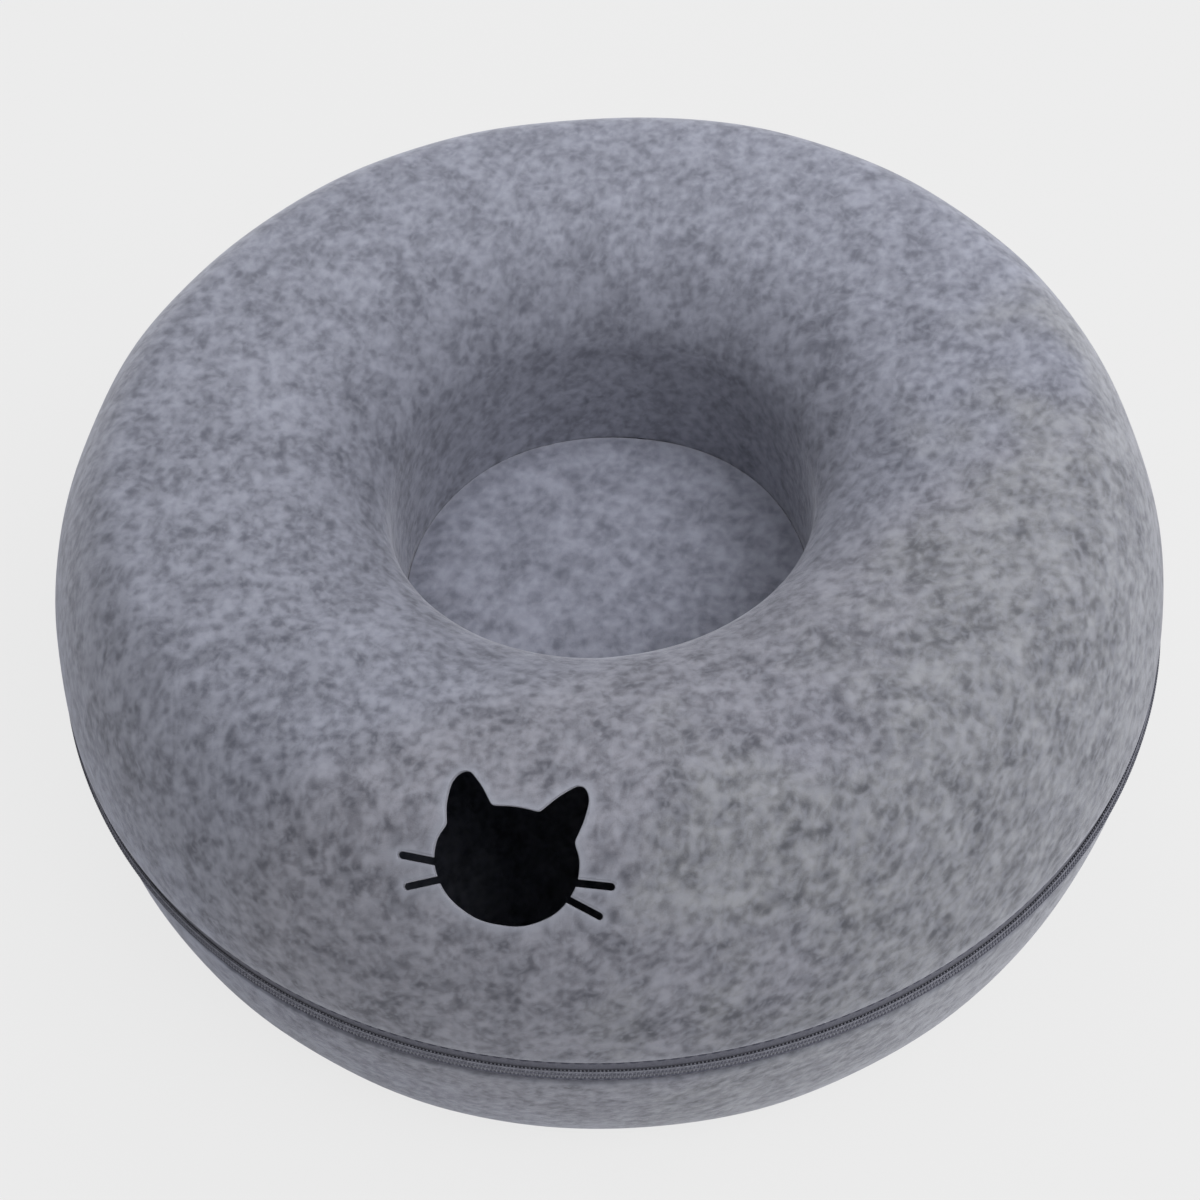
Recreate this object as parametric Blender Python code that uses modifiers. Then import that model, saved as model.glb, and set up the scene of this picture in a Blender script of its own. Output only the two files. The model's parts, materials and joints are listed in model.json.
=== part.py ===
"""Donut cat tunnel: two moulded felt half rings joined by a zip round the outside and a zip round
the well, with a round mat lying in the well. Metres, +Z up, origin on the floor under the centre.
"""
import math

import bmesh
import bpy
import numpy as np
from mathutils import Matrix, Vector

# Moulded felt rings
OUTER_RADIUS = 0.250
TOTAL_HEIGHT = 0.200
SPLIT_HEIGHT = 0.101  # the widest level, where the outer zip runs
SHOULDER_WIDTH = 0.050  # from the crest out to the widest level
THROAT_RADIUS = 0.095
FUNNEL_DEPTH = 0.051  # from the crest down to the straight part of the well
BASE_INSET = 0.029
HUB_DROP = 0.0258  # the hub's top below the widest level
HUB_EDGE_HEIGHT = 0.0132
HUB_FOOT_RADIUS = 0.165
FELT = 0.004
CREST_RADIUS = OUTER_RADIUS - SHOULDER_WIDTH
THROAT_TOP = TOTAL_HEIGHT - FUNNEL_DEPTH
BASE_RADIUS = OUTER_RADIUS - BASE_INSET
HUB_TOP = SPLIT_HEIGHT - HUB_DROP
HUB_SHOULDER = HUB_TOP - HUB_EDGE_HEIGHT
SHOULDER_POWER = 1.75
FUNNEL_POWER = 1.85
BELLY_POWER = 2.2
HUB_POWER = 2.0

# Mat in the well
MAT_THICKNESS = 0.014
MAT_PLAY = 0.0016
MAT_EDGE = 0.0045
MAT_CROWN = 0.0012
MAT_CROWN_SHARES = (0.75, 0.5, 0.25, 0.0)

# Gap left between pieces that touch
GAP = 0.0003

# Band between the felt's edges at each zip
OUTER_BAND = 0.0178
OUTER_BAND_DROP = 0.0026  # its middle below the widest level
OUTER_ZIP_INSET = 0.0012  # from the felt's widest radius in to the tape's face
INNER_BAND = 0.0125
INNER_TAPE_WIDTH = 0.011

# Zips, both of one size
TAPE = 0.0008
TAPE_EDGE = 0.001
CHAIN_WIDTH = 0.0042
CHAIN_DEPTH = 0.002
CHAIN_END_GAP = 0.026
SLIDER_LENGTH = 0.011
SLIDER_WIDTH = 0.009
SLIDER_PLATE = 0.0012
SLIDER_PLAY = 0.0007
SLIDER_ROUNDING = 0.0015
DIVIDER_LENGTH = 0.0014
DIVIDER_THICKNESS = 0.001
DIVIDER_PLAY = 0.0006
BAIL_SPAN = 0.0084
BAIL_BAR = 0.001
BAIL_WIDTH = 0.0016
BAIL_OPENING = 0.0022
PULL_LENGTH = 0.0225
PULL_THICKNESS = 0.0012
PULL_BAR = 0.001
PULL_SIDE = 0.0012
PULL_PLAY = 0.0005
STOP_LENGTH = 0.0024
STOP_WIDTH = 0.002
STOP_DEPTH = 0.0018
BOX_LENGTH = 0.007
BOX_WIDTH = 0.0038
BOX_DEPTH = 0.0024
PIN_WIDTH = 0.002
PIN_DEPTH = 0.0016
OUTER_ZIP_AZIMUTH = math.radians(33)
INNER_ZIP_AZIMUTH = math.radians(87)

# Cat-face peephole on the front left of the upper ring
FACE_HALF_WIDTH = 0.0265
FACE_HALF_HEIGHT = 0.0233
FACE_AZIMUTH = math.radians(-102)
FACE_SLOPE_SHARE = 0.24  # how far the face's middle is from the crest to the widest level
FACE_ELEVATION = math.radians(62)
FACE_TILT = math.radians(-2.5)
WHISKER_WIDTH = 0.0027

# Entrance on the back of the upper ring
ENTRANCE_HALF_WIDTH = 0.095
ENTRANCE_HALF_HEIGHT = 0.039
ENTRANCE_RISE = 0.054  # its middle above the widest level
ENTRANCE_AZIMUTH = math.radians(90)
ENTRANCE_ELEVATION = math.radians(25)

CUT_REACH = 0.030  # how far a cutter runs past the felt on each side
RING_STEPS = 60
CURVE_STEPS = 7
ENTRANCE_STEPS = 28

# Right half of the face outline, from the middle of the forehead to the chin, as shares of the
# face's half width and half height. The last word says whether the outline is round or has a corner.
FACE_OUTLINE_SHARES = [
    (0.0, 0.80, "AUTO"),
    (0.325, 0.77, "VECTOR"),
    (0.62, 1.14, "AUTO"),
    (0.80, 1.26, "AUTO"),
    (0.925, 1.16, "AUTO"),
    (0.965, 0.82, "AUTO"),
    (0.885, 0.385, "VECTOR"),
    (0.99, 0.08, "AUTO"),
    (0.90, -0.46, "AUTO"),
    (0.50, -0.88, "AUTO"),
    (0.0, -1.0, "AUTO"),
]
# Root, inside the face, and tip of each right-hand whisker, as shares of the same two sizes
WHISKER_SHARES = [((0.83, -0.21), (1.44, -0.18)), ((0.77, -0.42), (1.32, -0.64))]


def clear_scene():
    for obj in list(bpy.data.objects):
        bpy.data.objects.remove(obj)


def new_collection(name):
    collection = bpy.data.collections.new(name)
    bpy.context.scene.collection.children.link(collection)
    return collection


def new_material(name, color, roughness, metallic=0.0):
    material = bpy.data.materials.new(name)
    material.use_nodes = True
    shader = material.node_tree.nodes["Principled BSDF"]
    shader.inputs["Base Color"].default_value = (*color, 1.0)
    shader.inputs["Roughness"].default_value = roughness
    shader.inputs["Metallic"].default_value = metallic
    material.diffuse_color = (*color, 1.0)
    return material


def add_object(name, data, collection, material=None):
    obj = bpy.data.objects.new(name, data)
    collection.objects.link(obj)
    if material is not None:
        data.materials.append(material)
    return obj


def add_helper(name, data):
    """A cutter, or a shape that a Boolean joins to a piece."""
    helper = add_object(name, data, CUTTERS)
    helper.hide_render = True
    helper.display_type = "WIRE"
    return helper


def add_boolean(obj, helper, operation):
    modifier = obj.modifiers.new(helper.name, "BOOLEAN")
    modifier.object = helper
    modifier.operation = operation
    modifier.solver = "EXACT"


def side_curve(centre, reach, power, start=0.0):
    """A quarter of a superellipse, from its side (or from a height above it) to its top or foot."""
    first = math.asin(min(1.0, abs(start / reach[1])) ** (power / 2))
    angles = np.linspace(first, math.pi / 2, CURVE_STEPS + 1)
    across = centre[0] + reach[0] * np.cos(angles) ** (2 / power)
    along = centre[1] + reach[1] * np.sin(angles) ** (2 / power)
    across[-1] = centre[0]
    return list(zip(across, along))


def shoulder(start):
    """Outside of the upper ring, from this height above the widest level to the crest."""
    reach = (OUTER_RADIUS - CREST_RADIUS, TOTAL_HEIGHT - SPLIT_HEIGHT)
    return side_curve((CREST_RADIUS, SPLIT_HEIGHT), reach, SHOULDER_POWER, start)


def belly(start):
    """Outside of the lower ring, from this depth below the widest level to the floor."""
    reach = (OUTER_RADIUS - BASE_RADIUS, -SPLIT_HEIGHT)
    return side_curve((BASE_RADIUS, SPLIT_HEIGHT), reach, BELLY_POWER, start)


def funnel():
    """Inside of the well, from the top of the throat to the crest."""
    reach = (THROAT_RADIUS - CREST_RADIUS, TOTAL_HEIGHT - THROAT_TOP)
    return side_curve((CREST_RADIUS, THROAT_TOP), reach, FUNNEL_POWER)


def hub_wall():
    """Underside of the hub's wall, from its shoulder down to the floor."""
    reach = (THROAT_RADIUS - HUB_FOOT_RADIUS, -HUB_SHOULDER)
    return side_curve((HUB_FOOT_RADIUS, HUB_SHOULDER), reach, HUB_POWER)


def shoulder_radius(rise):
    """Radius of the upper ring's outside at this height above the widest level."""
    share = (1 - (rise / (TOTAL_HEIGHT - SPLIT_HEIGHT)) ** SHOULDER_POWER) ** (1 / SHOULDER_POWER)
    return CREST_RADIUS + (OUTER_RADIUS - CREST_RADIUS) * share


def offset_line(line, distance):
    """The line moved to its left by the distance, with mitred corners."""
    points = np.array(line)
    steps = np.diff(points, axis=0)
    steps /= np.linalg.norm(steps, axis=1)[:, None]
    normals = np.column_stack([-steps[:, 1], steps[:, 0]])
    before = np.vstack([normals[:1], normals])
    after = np.vstack([normals, normals[-1:]])
    spread = 1 + np.sum(before * after, axis=1)
    return points + distance * (before + after) / spread[:, None]


def sheet_section(line, thickness, lift=0.0):
    """Closed section of a sheet that lies on the left of the line, this far off it."""
    near = offset_line(line, lift)
    far = offset_line(line, lift + thickness)
    return np.vstack([near, far[::-1]])


def box_section(low, high):
    return np.array([low, (high[0], low[1]), high, (low[0], high[1])])


def turn(name, section, collection, material=None, closed=True):
    """Turns a section in the XZ plane round Z. It is laid out clockwise, so the faces point out."""
    following = np.roll(section, -1, axis=0)
    area = np.sum(section[:, 0] * following[:, 1] - following[:, 0] * section[:, 1])
    ordered = section[::-1] if area > 0 else section
    count = len(ordered)
    edges = [(i, (i + 1) % count) for i in range(count if closed else count - 1)]
    mesh = bpy.data.meshes.new(name)
    mesh.from_pydata([(r, 0, z) for r, z in ordered], edges, [])
    obj = add_object(name, mesh, collection, material)
    screw = obj.modifiers.new("turn", "SCREW")
    screw.angle = 2 * math.pi
    screw.steps = RING_STEPS
    screw.render_steps = RING_STEPS
    screw.use_smooth_shade = True
    screw.use_merge_vertices = True
    screw.merge_threshold = GAP / 10
    return obj


def block_mesh(name, low, high):
    mesh = bpy.data.meshes.new(name)
    middle = (Vector(low) + Vector(high)) / 2
    size = Vector(high) - Vector(low)
    shape = bmesh.new()
    bmesh.ops.create_cube(shape, size=1, matrix=Matrix.Translation(middle) @ Matrix.Diagonal((*size, 1)))
    shape.to_mesh(mesh)
    shape.free()
    return mesh


def facing(azimuth, elevation, tilt=0.0):
    """Rotation that turns local Z outward at this azimuth and elevation, with local X level."""
    level = Matrix.Rotation(azimuth + math.pi / 2, 4, "Z")
    return level @ Matrix.Rotation(math.pi / 2 - elevation, 4, "X") @ Matrix.Rotation(tilt, 4, "Z")


def flat_curve(name, depth):
    curve = bpy.data.curves.new(name, "CURVE")
    curve.dimensions = "2D"
    curve.fill_mode = "BOTH"
    curve.extrude = depth / 2
    curve.resolution_u = 3
    return curve


def add_polygon(curve, points):
    spline = curve.splines.new("POLY")
    spline.points.add(len(points) - 1)
    for point, (across, up) in zip(spline.points, points):
        point.co = (across, up, 0, 1)
    spline.use_cyclic_u = True


def cutter_from_curve(name, curve, placement):
    """The outline's prism as a closed mesh, because a Boolean takes no curve."""
    outline = add_helper(name + "_outline", curve)
    bpy.context.view_layer.update()
    graph = bpy.context.evaluated_depsgraph_get()
    mesh = bpy.data.meshes.new_from_object(outline.evaluated_get(graph))
    bpy.data.objects.remove(outline)
    shape = bmesh.new()
    shape.from_mesh(mesh)
    bmesh.ops.remove_doubles(shape, verts=shape.verts, dist=GAP / 10)
    bmesh.ops.recalc_face_normals(shape, faces=shape.faces)
    shape.to_mesh(mesh)
    shape.free()
    cutter = add_helper(name, mesh)
    cutter.matrix_world = placement
    return cutter


def face_placement():
    height = SPLIT_HEIGHT + face_rise()
    out = Vector((math.cos(FACE_AZIMUTH), math.sin(FACE_AZIMUTH), 0))
    radius = CREST_RADIUS + (OUTER_RADIUS - CREST_RADIUS) * FACE_SLOPE_SHARE
    middle = out * radius + Vector((0, 0, height))
    return Matrix.Translation(middle) @ facing(FACE_AZIMUTH, FACE_ELEVATION, FACE_TILT)


def face_rise():
    """Height of the felt's outside above the widest level at the middle of the face."""
    share = (1 - FACE_SLOPE_SHARE**SHOULDER_POWER) ** (1 / SHOULDER_POWER)
    return (TOTAL_HEIGHT - SPLIT_HEIGHT) * share


def head_cutter(placement):
    curve = flat_curve("face", 2 * CUT_REACH)
    left = [(-across, up, kind) for across, up, kind in FACE_OUTLINE_SHARES[1:-1]]
    outline = FACE_OUTLINE_SHARES + left[::-1]
    spline = curve.splines.new("BEZIER")
    spline.bezier_points.add(len(outline) - 1)
    for point, (across, up, kind) in zip(spline.bezier_points, outline):
        point.co = (across * FACE_HALF_WIDTH, up * FACE_HALF_HEIGHT, 0)
        point.handle_left_type = kind
        point.handle_right_type = kind
    spline.use_cyclic_u = True
    return cutter_from_curve("face_cutter", curve, placement)


def whisker_points(root, tip, side):
    """Outline of a straight slit with a round end."""
    scale = np.array([side * FACE_HALF_WIDTH, FACE_HALF_HEIGHT])
    start = np.array(root) * scale
    end = np.array(tip) * scale
    along = (end - start) / np.linalg.norm(end - start)
    across = np.array([-along[1], along[0]])
    round_end = [
        end + WHISKER_WIDTH / 2 * (across * math.cos(angle) + along * math.sin(angle))
        for angle in np.linspace(0, math.pi, 5)
    ]
    return [start + across * WHISKER_WIDTH / 2, *round_end, start - across * WHISKER_WIDTH / 2]


def whisker_cutters(placement):
    cutters = []
    for side, word in ((-1, "left"), (1, "right")):
        for level, (root, tip) in zip(("upper", "lower"), WHISKER_SHARES):
            name = f"{level}_{word}_whisker_cutter"
            curve = flat_curve(name, 2 * CUT_REACH)
            add_polygon(curve, whisker_points(root, tip, side))
            cutters.append(cutter_from_curve(name, curve, placement))
    return cutters


def entrance_cutter():
    shape = bmesh.new()
    bmesh.ops.create_cone(
        shape,
        cap_ends=True,
        segments=ENTRANCE_STEPS,
        radius1=ENTRANCE_HALF_WIDTH,
        radius2=ENTRANCE_HALF_WIDTH,
        depth=2 * CUT_REACH,
        matrix=Matrix.Diagonal((1, ENTRANCE_HALF_HEIGHT / ENTRANCE_HALF_WIDTH, 1, 1)),
    )
    mesh = bpy.data.meshes.new("entrance_cutter")
    shape.to_mesh(mesh)
    shape.free()
    cutter = add_helper("entrance_cutter", mesh)
    out = Vector((math.cos(ENTRANCE_AZIMUTH), math.sin(ENTRANCE_AZIMUTH), 0))
    middle = out * shoulder_radius(ENTRANCE_RISE) + Vector((0, 0, SPLIT_HEIGHT + ENTRANCE_RISE))
    cutter.matrix_world = Matrix.Translation(middle) @ facing(ENTRANCE_AZIMUTH, ENTRANCE_ELEVATION)
    return cutter


def upper_shell(material):
    """From the outer zip over the crest and down the well to the inner zip, felt on the left."""
    throat_end = (THROAT_RADIUS, inner_zip_height() + INNER_BAND / 2)
    line = shoulder(OUTER_BAND / 2 - OUTER_BAND_DROP) + funnel()[-2::-1] + [throat_end]
    obj = turn("upper_shell", sheet_section(line, FELT), PIECES, material)
    add_boolean(obj, entrance_cutter(), "DIFFERENCE")
    placement = face_placement()
    for cutter in (head_cutter(placement), *whisker_cutters(placement)):
        add_boolean(obj, cutter, "DIFFERENCE")
    return obj


def lower_shell(material):
    """From the middle of the hub's top down its wall, along the floor and up to the outer zip."""
    under_top = HUB_TOP - FELT
    line = [(0, under_top), (THROAT_RADIUS, under_top)] + hub_wall()
    line += belly(OUTER_BAND / 2 + OUTER_BAND_DROP)[::-1]
    return turn("lower_shell", sheet_section(line, FELT), PIECES, material, closed=False)


def inner_zip_height():
    return HUB_TOP + INNER_BAND / 2


def outer_zip_line():
    """Sewn edge to edge with the felt, so the tape is nearly flush with the felt's outside."""
    return {
        "name": "outer",
        "height": SPLIT_HEIGHT - OUTER_BAND_DROP,
        "face": OUTER_RADIUS - OUTER_ZIP_INSET,
        "tape_width": OUTER_BAND / 2 - TAPE_EDGE - GAP,
        "azimuth": OUTER_ZIP_AZIMUTH,
    }


def inner_zip_line():
    """Sewn to the tunnel side of the well's wall."""
    return {
        "name": "inner",
        "height": inner_zip_height(),
        "face": THROAT_RADIUS + FELT + GAP + TAPE,
        "tape_width": INNER_TAPE_WIDTH,
        "azimuth": INNER_ZIP_AZIMUTH,
    }


def mat(material):
    """A flat disc with a slight crown and round edges."""
    radius = THROAT_RADIUS - MAT_PLAY
    bottom = HUB_TOP + GAP
    top = bottom + MAT_THICKNESS
    edge_middle = radius - MAT_EDGE
    lower_edge = [
        (edge_middle + MAT_EDGE * math.sin(angle), bottom + MAT_EDGE * (1 - math.cos(angle)))
        for angle in np.linspace(0, math.pi / 2, 4)
    ]
    rim = top - MAT_CROWN
    upper_edge = [
        (edge_middle + MAT_EDGE * math.cos(angle), rim - MAT_EDGE * (1 - math.sin(angle)))
        for angle in np.linspace(0, math.pi / 2, 4)
    ]
    crown = [
        (edge_middle * share, rim + MAT_CROWN * (1 - share**2))
        for share in MAT_CROWN_SHARES
    ]
    section = np.array([(0, bottom), *lower_edge, *upper_edge, *crown])
    return turn("centre_mat", section, PIECES, material, closed=False)


def tape(name, side, zip_line, material):
    """One half of the zip's tape, from beside the middle of the chain."""
    near = zip_line["height"] + side * TAPE_EDGE
    far = near + side * zip_line["tape_width"]
    section = box_section((zip_line["face"] - TAPE, min(near, far)), (zip_line["face"], max(near, far)))
    return turn(name, section, PIECES, material)


def chain(name, side, zip_line, material):
    """One half of the closed teeth, left open between the ends of the zip."""
    near = zip_line["height"] + side * GAP / 2
    far = zip_line["height"] + side * CHAIN_WIDTH / 2
    back = zip_line["face"] + GAP
    section = box_section((back, min(near, far)), (back + CHAIN_DEPTH, max(near, far)))
    obj = turn(name, section, PIECES, material)
    half = CHAIN_END_GAP / 2
    low = (back - CHAIN_DEPTH, -half, min(near, far) - CHAIN_WIDTH)
    high = (back + 2 * CHAIN_DEPTH, half, max(near, far) + CHAIN_WIDTH)
    cutter = add_helper(name + "_end_cutter", block_mesh(name + "_end_cutter", low, high))
    cutter.rotation_euler.z = zip_line["azimuth"]
    add_boolean(obj, cutter, "DIFFERENCE")
    return obj


def place_on_zip(obj, zip_line, along):
    """Turns a piece about the centre to its place along the chain. Its local X points outward."""
    obj.location.z = zip_line["height"]
    obj.rotation_euler.z = zip_line["azimuth"] + along / zip_line["face"]


def add_empty(name, parent=None):
    empty = add_object(name, None, PIECES)
    empty.empty_display_size = SLIDER_LENGTH
    empty.parent = parent
    return empty


def bail_curve(name, front):
    """The low arch on the slider's front plate that carries the pull."""
    half = BAIL_SPAN / 2
    inside = half - BAIL_BAR
    top = front + BAIL_OPENING
    foot = front - SLIDER_PLATE / 2
    curve = flat_curve(name, BAIL_WIDTH)
    crown = top + BAIL_BAR
    slope = BAIL_BAR / 2
    outline = [(foot, -half), (crown - slope, -half), (crown, -half + slope), (crown, half - slope)]
    outline += [(crown - slope, half), (foot, half), (foot, inside), (top, inside)]
    outline += [(top, -inside), (foot, -inside)]
    add_polygon(curve, outline)
    return curve


def slider(zip_line, material):
    """Back plate and front plate with the divider between them and the bail on the front."""
    name = zip_line["name"] + "_slider"
    half = SLIDER_LENGTH / 2
    wide = SLIDER_WIDTH / 2
    back_face = zip_line["face"] - TAPE - SLIDER_PLAY
    front_face = zip_line["face"] + GAP + CHAIN_DEPTH + SLIDER_PLAY
    front = front_face + SLIDER_PLATE
    axis = add_empty(name + "_axis")
    place_on_zip(axis, zip_line, slider_place())
    low = (front_face, -half, -wide)
    obj = add_object(name, block_mesh(name, low, (front, half, wide)), PIECES, material)
    low = (back_face - SLIDER_PLATE, -half, -wide)
    back = add_helper(name + "_back", block_mesh(name + "_back", low, (back_face, half, wide)))
    reach = SLIDER_PLATE / 2
    start = -CHAIN_END_GAP / 2 - slider_place() + DIVIDER_PLAY
    low = (back_face - reach, start, -DIVIDER_THICKNESS / 2)
    high = (front_face + reach, start + DIVIDER_LENGTH, DIVIDER_THICKNESS / 2)
    divider = add_helper(name + "_divider", block_mesh(name + "_divider", low, high))
    bail = cutter_from_curve(name + "_bail", bail_curve(name + "_bail", front), Matrix())
    obj.parent = axis
    for helper in (back, divider, bail):
        helper.parent = axis
        add_boolean(obj, helper, "UNION")
    for helper in (obj, back):
        round_long_edges(helper)
    return axis, front


def round_long_edges(obj):
    """Rounds the plate's four corners, as seen from the front, before anything is joined to it."""
    shape = bmesh.new()
    shape.from_mesh(obj.data)
    corners = [e for e in shape.edges if abs((e.verts[0].co - e.verts[1].co).normalized().x) > 0.99]
    bmesh.ops.bevel(shape, geom=corners, offset=SLIDER_ROUNDING, segments=2, profile=0.5, affect="EDGES")
    shape.to_mesh(obj.data)
    shape.free()


def slider_place():
    """Middle of the closed slider along the chain, counted from the middle of the end gap."""
    divider_end = -CHAIN_END_GAP / 2 + DIVIDER_PLAY + DIVIDER_LENGTH
    return divider_end + GAP - SLIDER_LENGTH / 2


def pull(zip_line, axis, front, material):
    """A flat tab whose end bar runs under the bail. It turns about that bar."""
    name = zip_line["name"] + "_pull"
    pivot = add_empty(name + "_axis", axis)
    pivot.location.x = front + BAIL_OPENING / 2
    window = BAIL_WIDTH / 2 + PULL_PLAY
    wide = window + PULL_SIDE
    bar = PULL_BAR / 2
    window_end = math.hypot(BAIL_SPAN / 2, BAIL_OPENING / 2 + BAIL_BAR) + PULL_PLAY
    far = PULL_LENGTH - wide
    curve = flat_curve(name, PULL_THICKNESS)
    round_end = [
        (far + wide * math.sin(angle), wide * math.cos(angle)) for angle in np.linspace(0, math.pi, 7)
    ]
    add_polygon(curve, [(-bar, -wide), (-bar, wide), *round_end])
    add_polygon(curve, [(bar, -window), (window_end, -window), (window_end, window), (bar, window)])
    obj = add_object(name, curve, PIECES, material)
    obj.parent = pivot
    obj.rotation_euler = (math.pi / 2, 0, -math.pi / 2)
    return obj


def fixed_block(name, zip_line, along, low, high, material):
    """A block fixed to the tape, its low and high corners counted from the tape's front face."""
    face = zip_line["face"] + GAP
    corners = [(face + depth, across, up) for depth, across, up in (low, high)]
    obj = add_object(name, block_mesh(name, *corners), PIECES, material)
    place_on_zip(obj, zip_line, along)
    return obj


def zip_ends(zip_line, material):
    """Top stops past the slider, and the retainer box with its pin at the other end."""
    name = zip_line["name"]
    stop = slider_place() + SLIDER_LENGTH / 2 + DIVIDER_PLAY + STOP_LENGTH / 2
    half = STOP_LENGTH / 2
    near = TAPE_EDGE
    far = near + STOP_WIDTH
    low, high = (0, -half, near), (STOP_DEPTH, half, far)
    fixed_block(name + "_upper_top_stop", zip_line, stop, low, high, material)
    low, high = (0, -half, -far), (STOP_DEPTH, half, -near)
    fixed_block(name + "_lower_top_stop", zip_line, stop, low, high, material)
    place = CHAIN_END_GAP / 2 - DIVIDER_PLAY - BOX_LENGTH / 2
    half = BOX_LENGTH / 2
    near = GAP / 2
    box_far = near + BOX_WIDTH
    pin_far = near + PIN_WIDTH
    low, high = (0, -half, -box_far), (BOX_DEPTH, half, -near)
    fixed_block(name + "_retainer_box", zip_line, place, low, high, material)
    low, high = (0, -half, near), (PIN_DEPTH, half, pin_far)
    fixed_block(name + "_insertion_pin", zip_line, place, low, high, material)


def whole_zip(zip_line, tape_material, teeth_material, metal):
    name = zip_line["name"]
    tape(name + "_upper_tape", 1, zip_line, tape_material)
    tape(name + "_lower_tape", -1, zip_line, tape_material)
    chain(name + "_upper_teeth", 1, zip_line, teeth_material)
    chain(name + "_lower_teeth", -1, zip_line, teeth_material)
    axis, front = slider(zip_line, metal)
    pull(zip_line, axis, front, metal)
    zip_ends(zip_line, metal)


def main():
    felt = new_material("grey_felt", (0.25, 0.255, 0.30), 0.95)
    mat_felt = new_material("mat_felt", (0.25, 0.255, 0.30), 0.95)
    cloth = new_material("zip_tape", (0.075, 0.075, 0.095), 0.9)
    teeth = new_material("zip_teeth", (0.13, 0.13, 0.15), 0.5)
    metal = new_material("zip_metal", (0.10, 0.10, 0.12), 0.45, 0.6)
    upper_shell(felt)
    lower_shell(felt)
    mat(mat_felt)
    for zip_line in (outer_zip_line(), inner_zip_line()):
        whole_zip(zip_line, cloth, teeth, metal)


clear_scene()
PIECES = new_collection("donut_cat_tunnel")
CUTTERS = new_collection("cutters")
main()
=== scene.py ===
"""Looks of the donut cat tunnel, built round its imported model: two needle-felt rings with a cut
peephole and entrance, a soft mat, woven zip tapes, coil teeth, stitching and the zips' small metal.
Metres, +Z up, origin on the floor under the middle of the ring.
"""
import json
import math

import bpy
import numpy as np
from mathutils import Matrix, Vector

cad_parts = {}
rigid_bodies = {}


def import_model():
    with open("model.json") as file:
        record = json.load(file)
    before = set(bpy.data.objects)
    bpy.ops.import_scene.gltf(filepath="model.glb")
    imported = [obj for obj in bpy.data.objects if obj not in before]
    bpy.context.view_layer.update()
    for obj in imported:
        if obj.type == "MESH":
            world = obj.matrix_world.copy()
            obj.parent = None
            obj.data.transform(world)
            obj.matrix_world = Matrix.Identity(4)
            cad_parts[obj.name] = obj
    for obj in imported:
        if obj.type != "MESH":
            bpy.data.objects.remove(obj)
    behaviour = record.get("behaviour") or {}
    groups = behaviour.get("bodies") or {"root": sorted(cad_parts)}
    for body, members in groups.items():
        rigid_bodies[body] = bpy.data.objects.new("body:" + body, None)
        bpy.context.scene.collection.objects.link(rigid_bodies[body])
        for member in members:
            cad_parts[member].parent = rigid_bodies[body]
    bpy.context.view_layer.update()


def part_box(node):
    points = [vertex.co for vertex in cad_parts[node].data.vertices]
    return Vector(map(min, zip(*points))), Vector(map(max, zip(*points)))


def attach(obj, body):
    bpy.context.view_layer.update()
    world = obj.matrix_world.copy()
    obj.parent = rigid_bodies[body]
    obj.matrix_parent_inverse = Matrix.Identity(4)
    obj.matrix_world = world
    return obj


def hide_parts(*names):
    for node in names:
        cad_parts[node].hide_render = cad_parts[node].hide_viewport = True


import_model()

# Felt ring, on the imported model's shape
OUTER_RADIUS = 0.250
CREST_RADIUS = 0.200
THROAT_RADIUS = 0.095
THROAT_TOP = 0.149
BASE_RADIUS = 0.221
HUB_EDGE_HEIGHT = 0.0132
HUB_FOOT_RADIUS = 0.165
FELT = 0.004
SHOULDER_POWER = 1.75
FUNNEL_POWER = 1.85
BELLY_POWER = 2.2
HUB_POWER = 2.0
GAP = 0.0003
OUTER_BAND = 0.0178  # between the felt's edges at the outer zip
OUTER_BAND_DROP = 0.0026  # its middle below the widest level
OUTER_ZIP_INSET = 0.0012  # from the felt's widest radius in to the tape's face
INNER_BAND = 0.0125
TOTAL_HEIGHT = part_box("upper_shell")[1].z
OUTER_ZIP_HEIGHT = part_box("outer_lower_teeth")[1].z + GAP / 2
INNER_ZIP_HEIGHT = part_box("inner_lower_teeth")[1].z + GAP / 2
SPLIT_HEIGHT = OUTER_ZIP_HEIGHT + OUTER_BAND_DROP  # the ring's widest level
HUB_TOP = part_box("centre_mat")[0].z - GAP
HUB_SHOULDER = HUB_TOP - HUB_EDGE_HEIGHT
THROAT_HEM = 0.0012  # how far the throat's felt hangs over its zip
UPPER_EASING = 0.0016  # the reach over which corners of the felt's section are eased
LOWER_EASING = 0.0012

# How finely the felt is divided
RING_STEP = 0.0062
LINE_STEP = 0.0042
BACK_STEP = 0.0065
PEEPHOLE_STEP = 0.0009
ENTRANCE_STEP = 0.0024
HEAD_LINE_STEP = 0.0007
WHISKER_LINE_STEP = 0.0006
ENTRANCE_LINE_STEP = 0.002

# Felt edges and the small unevenness of moulded felt
FELT_ROUNDING = 0.0011
CUT_ROUNDING = 0.0007
ENTRANCE_ROUNDING = 0.0013
CUT_REACH = 0.012
CUT_SEARCH = (-0.06, 0.03, 1801)  # places along a cut's axis that are tried for the felt's face
WAVE_HEIGHT = 0.0007
WAVE_MIDDLE = 0.172  # radius about which the waves go round the ring's section
WAVE_FADE = 0.03  # height over which they fade out
WAVES = [(3, 1, 0.4, 1.0), (5, 2, 1.9, 0.8), (8, 3, 0.2, 0.6), (13, 2, 2.6, 0.45), (19, 5, 4.0, 0.3)]
EDGE_HIGHLIGHT_REACH = 0.0026  # how far a highlight, painted in the pale fibres' colour, reaches from a cut or sewn edge
WELL_SHADE_REACH = 0.142  # out to this radius round the well the felt's colour is darkened: painted shade
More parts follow.
